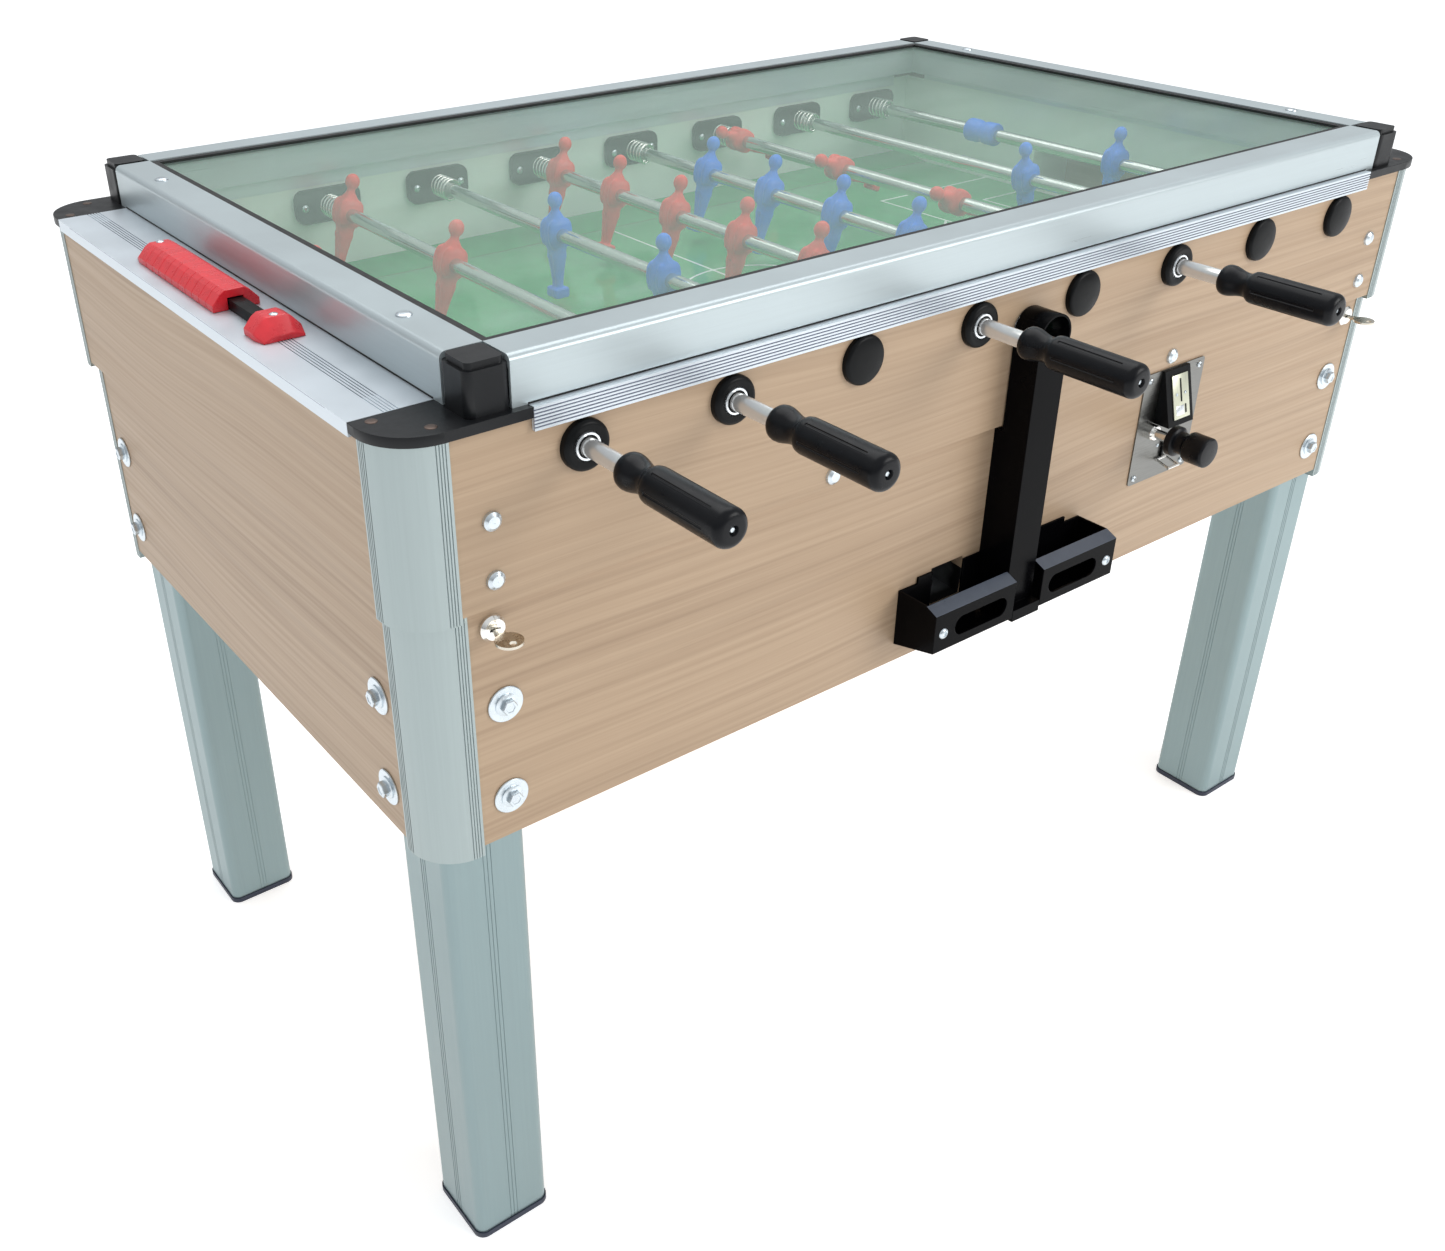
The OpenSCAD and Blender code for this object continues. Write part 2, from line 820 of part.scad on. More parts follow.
module corner_cover() {
    out_x = box_half_x + rim_rail_out;
    out_y = box_half_y + cover_out;
    r = post_radius + rim_rail_out;
    low_y = box_half_y - cover_side + fit_gap;
    arm_x = box_half_x - cover_arm + fit_gap;
    difference() {
        union() {
            block([arm_x, field_width / 2 - 1.5, wall_top], [out_x - r, out_y, rim_top]);
            block([field_length / 2 - 1, low_y, wall_top], [out_x, out_y - r, rim_top]);
            block([field_length / 2 - 1, low_y, wall_top], [out_x - r, out_y, rim_top]);
            intersection() {
                translate([out_x - r, out_y - r, wall_top]) cylinder(r = r, h = rim_thick);
                block([out_x - r, out_y - r, wall_top - cut], [out_x, out_y, rim_top + cut]);
            }
        }
        block([arm_x - cut, low_y - cut, wall_top - cut],
            [field_length / 2 - 1, field_width / 2 - 1.5, rim_top + cut]);
    }
}

module corner_covers() {
    color([0.12, 0.13, 0.15]) centred() mirror_x() mirror_y() corner_cover();
}

module bearing_plate(bore) {
    difference() {
        rotate([90, 0, 0]) linear_extrude(height = plate_thick)
            rounded_square(plate_length, plate_height, plate_corner);
        y_rod(bore, -plate_thick - cut, cut);
        for (x = [-plate_screw, plate_screw])
            translate([x, 0, 0]) y_rod(2.2, -plate_thick - cut, cut);
    }
    for (x = [-plate_screw, plate_screw]) translate([x, 0, 0]) {
        y_rod(2.2, -plate_thick, -eps);
        translate([0, -plate_thick, 0]) y_turned([[0, 0], [4.5, 0], [3, 1.8], [0, 2]]);
    }
}

// The plate at the grip end lets the tube through, and the other one holds the inner rod
module bearing_plates() {
    color([0.13, 0.14, 0.13]) centred()
        for (k = [1 : rod_count], wall = [-1, 1])
            translate([rod_x(k), wall * field_width / 2, rod_height])
                mirror([0, wall < 0 ? 1 : 0, 0])
                    bearing_plate(wall == side_of(k) ? tube_r + 0.3 : core_r + rod_play);
}

module bumper_spring() {
    coils = 5;
    wire = 3;
    gap = (spring_length - wire) / (coils - 1);
    r = spring_diameter / 2;
    difference() {
        union() {
            y_rod(r - wire / 2, -spring_length, 0);
            for (i = [0 : coils - 1])
                y_rod(r, -i * gap - wire, -i * gap);
        }
        y_rod(r - wire, -spring_length - cut, cut);
    }
}

module bumper_springs() {
    color([0.8, 0.8, 0.8]) centred()
        for (k = [1 : rod_count], wall = [-1, 1])
            translate([rod_x(k), wall * (field_width / 2 - plate_thick), rod_height])
                mirror([0, wall < 0 ? 1 : 0, 0]) bumper_spring();
}

module open_bushing() {
    bore = tube_r + rod_play;
    y_turned([[bore, -wall_thick + cut], [wall_hole_r - 0.1, -wall_thick + cut],
        [wall_hole_r - 0.1, 0], [bush_r, 0], [bush_r, 3], [bush_r - 3, 6], [14, bush_out],
        [bore, bush_out]]);
}

module closed_bushing() {
    y_turned([[0, -8], [wall_hole_r - 0.1, -8], [wall_hole_r - 0.1, 0], [cap_r, 0],
        [cap_r, 2.5], [cap_r - 2, 5], [cap_r - 8, 7.5], [0, 8]]);
}

module wall_bushings() {
    color([0.07, 0.07, 0.08]) centred()
        for (k = [1 : rod_count], wall = [-1, 1])
            translate([rod_x(k), wall * (box_half_y - panel_recess), rod_height])
                mirror([0, wall > 0 ? 1 : 0, 0])
                    if (wall == side_of(k)) open_bushing();
                    else closed_bushing();
}

// ---------- lid ----------

// Rail section with its outer foot at the origin and its body towards -X
module lid_rail_section() {
    glass_low = lid_height - glass_depth - glass_thick;
    difference() {
        union() {
            translate([-lid_rail, 0]) square([lid_rail, lid_height - lid_edge_r]);
            translate([-lid_rail, 0]) square([lid_rail - lid_edge_r, lid_height]);
            translate([-lid_edge_r, lid_height - lid_edge_r]) circle(lid_edge_r);
        }
        translate([-lid_rail - cut, glass_low - glass_gap / 2])
            square([glass_hold + cut + glass_gap, glass_thick + glass_gap]);
        translate([-lid_rail + 3, 3]) square([lid_rail - 6, glass_low - 6]);
    }
}

module lid_rails() {
    color([0.75, 0.82, 0.85]) centred() translate([0, 0, rim_top]) {
        mirror_y() along_x(-lid_half_x + lid_rail, lid_half_x - lid_rail)
            translate([lid_half_y, 0]) lid_rail_section();
        mirror_x() along_y(-lid_half_y + lid_rail, lid_half_y - lid_rail)
            translate([lid_half_x, 0]) lid_rail_section();
    }
}

module lid_corner_blocks() {
    size = lid_rail - fit_gap;
    dome = 0.8;
    notch = lid_height - glass_depth - glass_thick - glass_gap;
    color([0.1, 0.11, 0.12]) centred()
        four_corners(lid_half_x + dome, lid_half_y + dome)
            translate([-size / 2 - dome / 2, -size / 2 - dome / 2, rim_top]) {
                linear_extrude(height = lid_height - 5)
                    rounded_square(size + dome, size + dome, block_r);
                translate([0, 0, lid_height - 5 - eps])
                    linear_extrude(height = 5 + dome)
                        rounded_square(size - 5, size - 5, block_r - 2);
            }
}

module glass_gasket() {
    inner_x = lid_half_x - lid_rail;
    inner_y = lid_half_y - lid_rail;
    lip = 8;
    low = glass_top;
    high = lid_top - 1.2;
    color([0.03, 0.03, 0.04]) centred()
        difference() {
            block([-inner_x, -inner_y, low], [inner_x, inner_y, high]);
            block([-inner_x + lip, -inner_y + lip, low - cut],
                [inner_x - lip, inner_y - lip, high + cut]);
        }
}

module glass_pane() {
    half_x = lid_half_x - lid_rail + glass_hold - 1;
    half_y = lid_half_y - lid_rail + glass_hold - 1;
    corner = glass_hold + 1;
    color([0.6, 0.8, 0.72, 0.35]) centred()
        difference() {
            block([-half_x, -half_y, glass_top - glass_thick], [half_x, half_y, glass_top]);
            mirror_x() mirror_y()
                block([half_x - corner, half_y - corner, glass_top - glass_thick - cut],
                    [half_x + cut, half_y + cut, glass_top + cut]);
        }
}

module dome_screw(r, h) {
    rotate_extrude() polygon([[0, 0], [r, 0], [r * 0.94, h * 0.45], [r * 0.6, h * 0.88], [0, h]]);
}

// Dome heads on the wooden walls, the lid rails and the corner covers
module rim_screws() {
    pair_x = box_half_x - 82;
    color([0.85, 0.87, 0.9]) centred() {
        for (x = [-1, 1], y = [-1, 1]) {
            for (z = [rod_height - 41.5, rod_height - 93.5])
                translate([x * pair_x, y * (box_half_y - panel_recess), z])
                    rotate([-90 * y, 0, 0]) dome_screw(8.5, 5);
            translate([x * 251, y * (box_half_y - panel_recess), rod_height - 107])
                rotate([-90 * y, 0, 0]) dome_screw(8.5, 5);
            translate([x * (lid_half_x - lid_rail / 2), y * (lid_half_y - 126), lid_top])
                dome_screw(7, 2.5);
            translate([x * (box_half_x - 12), y * (box_half_y - 46), rim_top])
                dome_screw(5, 0.8);
            translate([x * (box_half_x - 42), y * (box_half_y - 10.5), rim_top])
                dome_screw(5, 0.8);
        }
    }
}

// ---------- score counters ----------

module score_outline() {
    half = score_width / 2;
    polygon([[-half, 0], [half, 0], [half, 6], [half - 8, 15], [half - 13, score_height],
        [-half + 13, score_height], [-half + 8, 15], [-half, 6]]);
}

module score_end_block() {
    inner = score_length / 2 - score_block;
    outer = score_length / 2;
    intersection() {
        along_y(inner, outer) score_outline();
        along_x(-score_width, score_width)
            polygon([[inner, 0], [outer, 0], [outer, 5], [outer - 14, score_height],
                [inner + 4, score_height], [inner, score_height - 4]]);
    }
    translate([0, outer - 17, score_height - eps]) dome_screw(4, 1.6);
}

module score_frames() {
    inner = score_length / 2 - score_block;
    color([0.8, 0.12, 0.15]) centred()
        for (x = [-1, 1]) translate([x * score_x, 0, rim_top]) {
            mirror_y() score_end_block();
            block([-bar_width / 2, -inner - cut, 0], [bar_width / 2, inner + cut, bar_height]);
        }
}

module score_bead() {
    along_y(0, bead_length) difference() {
        translate([0, 0.4]) score_outline();
        translate([-bar_width / 2 - 0.5, -cut])
            square([bar_width + 1, bar_height + cut + 0.6]);
    }
}

module score_beads(x) {
    inner = score_length / 2 - score_block;
    for (i = [1 : bead_count])
        translate([x, inner - 0.3 - i * bead_pitch, rim_top]) score_bead();
}

module score_beads_left() { color([0.82, 0.15, 0.18]) centred() score_beads(-score_x); }

module score_beads_right() { color([0.2, 0.42, 0.75]) centred() score_beads(score_x); }

// ---------- hinges of the playing box ----------

module hinge_brackets() {
    back = cab_half_y - panel_recess;
    color([0.6, 0.62, 0.65]) centred()
        for (x = hinge_places) translate([x, 0, 0]) {
            block([-hinge_half, back, seam_z - 60], [hinge_half, back + leaf, seam_z - 14]);
            mirror_x() {
                block([knuckle, back, seam_z - 17],
                    [hinge_half, hinge_y + leaf / 2, seam_z - 14]);
                block([knuckle, hinge_y - leaf / 2, seam_z - 17],
                    [hinge_half, hinge_y + leaf / 2, seam_z]);
                translate([knuckle, hinge_y, seam_z]) rotate([0, 90, 0])
                    cylinder(r = hinge_r, h = hinge_half - knuckle);
            }
            translate([-hinge_half, hinge_y, seam_z]) rotate([0, 90, 0])
                cylinder(r = hinge_pin_r, h = 2 * hinge_half);
        }
}

module hinge_leaves() {
    face = box_half_y - panel_recess;
    inner = knuckle - 0.5;
    color([0.6, 0.62, 0.65]) centred()
        for (x = hinge_places) translate([x, 0, 0])
            difference() {
                union() {
                    block([-hinge_half, face, seam_z + 8], [hinge_half, face + leaf, seam_z + 52]);
                    block([-inner, face, seam_z], [inner, face + leaf, seam_z + 10]);
                    translate([-inner, hinge_y, seam_z]) rotate([0, 90, 0])
                        cylinder(r = hinge_r, h = 2 * inner);
                }
                translate([-inner - cut, hinge_y, seam_z]) rotate([0, 90, 0])
                    cylinder(r = hinge_pin_r + rod_play, h = 2 * (inner + cut));
            }
}

// ---------- rods ----------

// Puts a rod, drawn with its grip at the front and its centre line on Y, in its place
module place_rod(k) {
    translate([rod_x(k), 0, rod_height])
        mirror([0, side_of(k) > 0 ? 1 : 0, 0]) children();
}

module core(k) {
    color([0.7, 0.72, 0.74]) centred()
        place_rod(k) {
            y_rod(core_r, core_end, field_width / 2 + 0.3 + eps);
            y_rod(core_head_r, field_width / 2 + 0.3, field_width / 2 + 0.3 + core_head);
        }
}

module grip() {
    r = grip_diameter / 2;
    difference() {
        y_turned([[tube_r, 0], [13.5, 0], [15.4, 3], [15.8, 8], [15, 14], [12.6, 20], [12, 25],
            [13.5, 31], [r - 0.6, 37], [r, 42], [r, grip_length - 16], [r - 1.5, grip_length - 8],
            [r - 5, grip_length - 2.5], [r - 10, grip_length], [3.5, grip_length],
            [2, grip_length - 4], [0, grip_length - 4], [0, grip_length - 12],
            [tube_r, grip_length - 12]]);
        for (turn = [0 : 3])
            rotate([0, 45 + 90 * turn, 0]) translate([0, 0, r + 0.8])
                y_rod(2, -grip_length + 20, -44);
    }
}

module rod(k) {
    color([0.82, 0.84, 0.86]) centred()
        place_rod(k) translate([0, -pulled_out(k), 0]) {
            difference() {
                y_rod(tube_r, -grip_end + 12, tube_inner_end);
                y_rod(core_r + rod_play, -grip_end + 14, tube_inner_end + cut);
            }
            translate([0, -grip_start, 0]) grip();
        }
}

// One player: rod hole along Y through the origin, head up, feet down
module player() {
    half = player_half_width;
    foot_top = -foot_reach + 16;
    difference() {
        union() {
            intersection() {
                along_y(-half, half) polygon([[-5, 25], [5, 25], [9, 20], [14, 6], [14.5, 0],
                    [12, -12], [9, -18], [6, foot_top], [9, foot_top - 5], [9, -foot_reach + 3],
                    [7, -foot_reach], [-7, -foot_reach], [-9, -foot_reach + 3], [-9, foot_top - 5],
                    [-6, foot_top], [-9, -18], [-12, -12], [-14.5, 0], [-14, 6], [-9, 20]]);
                along_x(-20, 20) polygon([[-4, 25], [4, 25], [9, 21], [half, 12], [half, -10],
                    [10.5, -14], [10.5, -24], [7, foot_top + 4], [10, foot_top - 3],
                    [10, -foot_reach], [-10, -foot_reach], [-10, foot_top - 3], [-7, foot_top + 4],
                    [-10.5, -24], [-10.5, -14], [-half, -10], [-half, 12], [-9, 21]]);
            }
            cylinder(r = 4.6, h = head_reach - head_diameter / 2);
            translate([0, 0, head_reach - head_diameter / 2]) sphere(head_diameter / 2);
        }
        y_rod(tube_r, -half - cut, half + cut);
    }
}

module keeper_collar() {
    difference() {
        y_rod(collar_r, -collar_length / 2, collar_length / 2);
        y_rod(tube_r, -collar_length / 2 - cut, collar_length / 2 + cut);
        y_rod(collar_r + cut, -1, 1);
    }
    difference() {
        y_rod(collar_r - 2, -1 - eps, 1 + eps);
        y_rod(tube_r, -2, 2);
    }
}

module players(k) {
    n = players_of(k);
    color(side_of(k) < 0 ? [0.85, 0.2, 0.2] : [0.2, 0.5, 0.9]) centred()
        place_rod(k) translate([0, -pulled_out(k), 0]) {
            for (i = [0 : n - 1])
                translate([0, player_place(n, i), 0]) rotate([0, tilt_of(k), 0]) player();
            if (n == 1)
                for (s = [-1, 1])
                    translate([0, player_place(n, 0) + s * collar_offset, 0]) keeper_collar();
        }
}

legs();
leg_feet();
lower_posts();
lower_panels();
cabinet_floor();
leg_bolts();
ball_tray();
ball_column();
coin_plate();
coin_bezel();
chrome_fittings();
cash_box();
ball_chute();
hinge_brackets();
coin_plunger();
coin_return_loop();
key_left();
key_right();
upper_panels();
upper_posts();
inner_walls();
playfield();
rim_rails();
corner_covers();
bearing_plates();
bumper_springs();
wall_bushings();
lid_rails();
lid_corner_blocks();
glass_gasket();
glass_pane();
rim_screws();
score_frames();
hinge_leaves();
score_beads_left();
score_beads_right();
core(1);  // core_1
core(2);  // core_2
core(3);  // core_3
core(4);  // core_4
core(5);  // core_5
core(6);  // core_6
core(7);  // core_7
core(8);  // core_8
rod(1);  // rod_1
rod(2);  // rod_2
rod(3);  // rod_3
rod(4);  // rod_4
rod(5);  // rod_5
rod(6);  // rod_6
rod(7);  // rod_7
rod(8);  // rod_8
players(1);  // players_1
players(2);  // players_2
players(3);  // players_3
players(4);  // players_4
players(5);  // players_5
players(6);  // players_6
players(7);  // players_7
players(8);  // players_8
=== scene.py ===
"""Looks of a covered coin-operated football table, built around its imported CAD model."""
import math

import bmesh
import bpy
from mathutils import Matrix, Vector


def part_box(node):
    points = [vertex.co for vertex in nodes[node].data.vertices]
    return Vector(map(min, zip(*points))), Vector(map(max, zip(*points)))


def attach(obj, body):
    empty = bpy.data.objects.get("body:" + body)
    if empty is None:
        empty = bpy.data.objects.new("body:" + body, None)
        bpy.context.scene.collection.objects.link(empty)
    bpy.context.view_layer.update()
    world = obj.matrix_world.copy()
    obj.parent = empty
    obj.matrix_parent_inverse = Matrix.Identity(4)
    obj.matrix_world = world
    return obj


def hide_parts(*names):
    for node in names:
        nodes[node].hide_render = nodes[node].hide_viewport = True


MM = 0.001
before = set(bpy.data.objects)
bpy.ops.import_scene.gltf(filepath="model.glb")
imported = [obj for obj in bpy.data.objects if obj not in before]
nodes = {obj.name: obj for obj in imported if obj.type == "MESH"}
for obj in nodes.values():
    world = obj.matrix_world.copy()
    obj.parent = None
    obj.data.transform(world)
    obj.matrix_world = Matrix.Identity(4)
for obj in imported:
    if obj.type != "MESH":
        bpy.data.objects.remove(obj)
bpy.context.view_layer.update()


# ---------- places, from the frame ----------

def low(node):
    return Vector(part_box(node)[0])


def high(node):
    return Vector(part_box(node)[1])


def middle(node):
    return (low(node) + high(node)) / 2


MID_Y = middle("upper_panels").y
ROD_COUNT = 8
ROD_X = {k: middle(f"core_{k}").x for k in range(1, ROD_COUNT + 1)}
ROD_Z = middle("core_1").z
WALL_FACE = (high("upper_panels").y - low("upper_panels").y) / 2
SIDE = {k: 1 if high(f"rod_{k}").y > high("upper_panels").y + 0.05 else -1 for k in ROD_X}
RAMP_EDGE = 321.3 * MM  # foot of the side ramps, from the middle of the field
RIM_Z = high("rim_rails").z
PLATE_DEPTH = 8 * MM  # of a bearing plate
INNER_WALL = (high("bearing_plates").y - low("bearing_plates").y) / 2
CABINET_FACE = low("lower_panels").y


# ---------- shaders ----------

class Shader:
    """A Principled material with its textures placed by the object's own coordinates."""

    def __init__(self, name):
        self.material = bpy.data.materials.new(name)
        self.material.use_nodes = True
        self.tree = self.material.node_tree
        self.bsdf = self.tree.nodes["Principled BSDF"]
        self.place = self.node("ShaderNodeTexCoord").outputs["Object"]

    def node(self, kind, **settings):
        made = self.tree.nodes.new(kind)
        for key, value in settings.items():
            setattr(made, key, value)
        return made

    def put(self, socket, value):
        """Links a socket or sets a constant."""
        if isinstance(value, bpy.types.NodeSocket):
            self.tree.links.new(value, socket)
        else:
            socket.default_value = value

    def math(self, operation, a, b=0.0, c=0.0):
        made = self.node("ShaderNodeMath", operation=operation)
        for socket, value in zip(made.inputs, (a, b, c)):
            self.put(socket, value)
        return made.outputs[0]

    def split(self, vector=None):
        made = self.node("ShaderNodeSeparateXYZ")
        self.put(made.inputs[0], vector or self.place)
        return made.outputs

    def join(self, x, y, z):
        made = self.node("ShaderNodeCombineXYZ")
        for socket, value in zip(made.inputs, (x, y, z)):
            self.put(socket, value)
        return made.outputs[0]

    def stretch(self, scale, vector=None):
        made = self.node("ShaderNodeMapping")
        self.put(made.inputs["Vector"], vector or self.place)
        made.inputs["Scale"].default_value = scale
        return made.outputs[0]

    def noise(self, vector, scale, detail=4.0, roughness=0.55):
        made = self.node("ShaderNodeTexNoise")
        self.put(made.inputs["Vector"], vector)
        made.inputs["Scale"].default_value = scale
        made.inputs["Detail"].default_value = detail
        made.inputs["Roughness"].default_value = roughness
        return made.outputs[0]

    def range(self, value, from_low, from_high, to_low, to_high):
        made = self.node("ShaderNodeMapRange")
        for socket, number in zip(made.inputs, (value, from_low, from_high, to_low, to_high)):
            self.put(socket, number)
        return made.outputs[0]

    def blend(self, factor, first, second):
        made = self.node("ShaderNodeMix", data_type="RGBA")
        self.put(made.inputs["Factor"], factor)
        for socket, colour in ((made.inputs[6], first), (made.inputs[7], second)):
            self.put(socket, colour if isinstance(colour, bpy.types.NodeSocket) else (*colour, 1.0))
        return made.outputs[2]

    def relief(self, height, distance, strength=1.0):
        made = self.node("ShaderNodeBump")
        made.inputs["Strength"].default_value = strength
        made.inputs["Distance"].default_value = distance
        self.put(made.inputs["Height"], height)
        self.put(self.bsdf.inputs["Normal"], made.outputs[0])

    def base(self, value):
        colour = value if isinstance(value, bpy.types.NodeSocket) else (*value, 1.0)
        self.put(self.bsdf.inputs["Base Color"], colour)

    def set(self, **values):
        for key, value in values.items():
            self.put(self.bsdf.inputs[key.replace("_", " ")], value)


def scaled(colour, factor):
    return tuple(min(1.0, c * factor) for c in colour)


def solid_finish(name, colour, rough, metallic=0.0, grain=(1, 1, 1), size=60.0, tint=0.08,
                 spread=0.1, bump=0.05, bump_size=400.0, **extra):
    """A uniform finish with slight patches of colour, gloss and texture."""
    s = Shader(name)
    patches = s.noise(s.stretch(grain), size, 5.0)
    fine = s.noise(s.stretch(grain), bump_size, 3.0, 0.6)
    s.base(s.blend(s.range(patches, 0.3, 0.7, 0.0, 1.0), scaled(colour, 1 - tint),
                   scaled(colour, 1 + tint)))
    s.set(Metallic=metallic)
    s.put(s.bsdf.inputs["Roughness"], s.range(patches, 0.25, 0.75, max(0.02, rough - spread),
                                              rough + spread))
    s.relief(fine, bump * MM, 0.5)
    s.set(**extra)
    return s.material


def wood_finish(name, light, dark):
    """Pale wood-grain foil: long straight streaks, a few slow waves and fine dark pores."""
    ring_pitch = 21 * MM
    s = Shader(name)
    x, y, z = s.split()
    along = s.math("ADD", x, y)

    def drawn(along_scale, height, height_scale):
        return s.join(s.math("MULTIPLY", along, along_scale), 0.0, s.math("MULTIPLY", height, height_scale))

    slow = s.noise(drawn(1.3, z, 2.2), 1.0, 1.0)
    lifted = s.math("ADD", z, s.math("MULTIPLY", slow, 0.06))
    rings = s.math("SINE", s.math("MULTIPLY", lifted, 2 * math.pi / ring_pitch))
    fibre = s.noise(drawn(1.6, lifted, 190.0), 1.0, 6.0, 0.62)
    pores = s.noise(drawn(9.0, z, 700.0), 1.0, 2.0)
    broad = s.noise(drawn(0.7, lifted, 17.0), 1.0, 2.0)
    tone = s.blend(s.range(fibre, 0.38, 0.72, 0.0, 0.75), light, dark)
    tone = s.blend(s.range(broad, 0.36, 0.64, 0.0, 0.4), tone, scaled(light, 1.08))
    waves = s.math("MULTIPLY", s.range(rings, 0.45, 1.0, 0.0, 0.24), s.range(broad, 0.4, 0.6, 1.0, 0.1))
    tone = s.blend(waves, tone, scaled(dark, 0.86))
    tone = s.blend(s.range(pores, 0.6, 0.74, 0.0, 0.2), tone, scaled(dark, 0.72))
    s.base(tone)
    s.put(s.bsdf.inputs["Roughness"], s.range(fibre, 0.3, 0.7, 0.38, 0.5))
    s.set(Specular_IOR_Level=0.35)
    s.relief(s.math("ADD", fibre, s.math("MULTIPLY", pores, 0.5)), 0.05 * MM, 0.4)
    return s.material


def brushed_finish(name, colour, rough, stretch, metallic=1.0, streak=0.12, coat=0.0):
    """Metal with fine drawn lines across the directions that stretch makes dense."""
    s = Shader(name)
    lines = s.noise(s.stretch(stretch), 1.0, 6.0, 0.7)
    cloud = s.noise(s.place, 5.0, 4.0)
    s.base(s.blend(s.range(lines, 0.3, 0.7, 0.0, 1.0), scaled(colour, 1 - streak),
                   scaled(colour, 1 + streak)))
    s.set(Metallic=metallic)
    s.put(s.bsdf.inputs["Roughness"], s.math("ADD", s.range(lines, 0.3, 0.7, rough - 0.05, rough + 0.05),
                                             s.range(cloud, 0.3, 0.7, -0.04, 0.04)))
    s.relief(lines, 0.02 * MM, 0.4)
    if coat:
        s.set(Coat_Weight=coat, Coat_Roughness=0.2)
    return s.material


def field_finish(name, green, white):
    """Green laminate with white lines: halfway line, centre circle, penalty and goal areas."""
    s = Shader(name)
    x, y, _ = s.split()
    out = s.math("ABSOLUTE", x)
    across = s.math("ABSOLUTE", s.math("SUBTRACT", y, MID_Y))
    line = 1.7 * MM  # half a line's width
    circle, spot = 97 * MM, 5 * MM
    penalty_reach, penalty_half = 386 * MM, 197 * MM
    goal_reach, goal_half = 505 * MM, 114 * MM
    arc_middle, arc_radius = 430 * MM, 85 * MM
    marks_half = 322.5 * MM
    radius = s.math("SQRT", s.math("ADD", s.math("MULTIPLY", out, out), s.math("MULTIPLY", across, across)))

    def near(value, place, half=line):
        return s.math("COMPARE", value, place, half)

    def both(a, b):
        return s.math("MULTIPLY", a, b)

    def area(reach, half_width):
        inside_x = s.math("GREATER_THAN", out, reach - line)
        inside_y = s.math("LESS_THAN", across, half_width + line)
        return s.math("MAXIMUM", both(near(out, reach), inside_y), both(near(across, half_width), inside_x))

    marks = near(out, 0.0)
    from_arc_middle = s.math("SQRT", s.math("ADD", s.math("POWER", s.math("SUBTRACT", out, arc_middle), 2.0),
                                            s.math("MULTIPLY", across, across)))
    arc = both(near(from_arc_middle, arc_radius), s.math("LESS_THAN", out, penalty_reach))
    for mark in (near(radius, circle), s.math("LESS_THAN", radius, spot), area(penalty_reach, penalty_half),
                 area(goal_reach, goal_half), arc):
        marks = s.math("MAXIMUM", marks, mark)
    marks = both(marks, s.math("LESS_THAN", across, marks_half))
    wear = s.noise(s.stretch((1, 1, 1)), 55.0, 5.0)
    scuffs = s.noise(s.stretch((9, 240, 1)), 1.0, 4.0)
    ground = s.blend(s.range(wear, 0.3, 0.7, 0.0, 1.0), scaled(green, 0.9), scaled(green, 1.12))
    ground = s.blend(near(across, RAMP_EDGE, 0.7 * MM), ground, (0.09, 0.07, 0.035))
    paint = s.math("MULTIPLY", marks, s.range(wear, 0.2, 0.4, 0.8, 1.0))
    s.base(s.blend(paint, ground, white))
    s.put(s.bsdf.inputs["Roughness"], s.range(scuffs, 0.35, 0.65, 0.07, 0.16))
    s.relief(wear, 0.03 * MM, 0.3)
    s.set(Specular_IOR_Level=0.6)
    return s.material


def glass_finish(name):
    """Toughened glass with a pale veil of dust and reflected room."""
    s = Shader(name)
    dust = s.noise(s.stretch((1, 1, 1)), 9.0, 6.0, 0.6)
    wipes = s.noise(s.stretch((3, 26, 1)), 1.0, 5.0)
    s.base((0.66, 0.86, 0.76))
    s.put(s.bsdf.inputs["Alpha"], s.range(s.math("MULTIPLY", dust, wipes), 0.12, 0.4, 0.14, 0.19))
    s.put(s.bsdf.inputs["Roughness"], s.range(wipes, 0.3, 0.7, 0.03, 0.09))
    s.set(Specular_IOR_Level=0.5)
    return s.material


def rim_finish(name, colour, groove_shade):
    """Anodised rail: smooth faces, with painted shade on the floors of the ribs of its front and ends."""
    s = Shader(name)
    _, y, z = s.split()
    rail_face = (high("rim_rails").y - low("rim_rails").y) / 2
    front_depth, top_depth = 1.2 * MM, 0.8 * MM  # of the grooves
    end_half = 300 * MM
    cloud = s.noise(s.stretch((3, 3, 40)), 6.0, 4.0)
    across = s.math("ABSOLUTE", s.math("SUBTRACT", y, MID_Y))
    front_grooves = s.math("COMPARE", across, rail_face - front_depth, 0.5 * MM)
    top_grooves = s.math("COMPARE", z, RIM_Z - top_depth, 0.25 * MM)
    outside = s.math("LESS_THAN", z, RIM_Z - 1.5 * MM)
    # painted shade: the rib floors on the front and on the top of the ends are coloured darker, as if in
    # shade
    lines = s.math("MAXIMUM", s.math("MULTIPLY", front_grooves, outside),
                   s.math("MULTIPLY", top_grooves, s.math("LESS_THAN", across, end_half)))
    plain = s.blend(s.range(cloud, 0.3, 0.7, 0.0, 1.0), scaled(colour, 0.97), scaled(colour, 1.03))
    s.base(s.blend(lines, plain, groove_shade))
    s.set(Metallic=0.45)
    s.put(s.bsdf.inputs["Roughness"], s.range(cloud, 0.3, 0.7, 0.34, 0.42))
    s.relief(s.noise(s.place, 1400.0, 2.0), 0.004 * MM, 0.3)
    return s.material


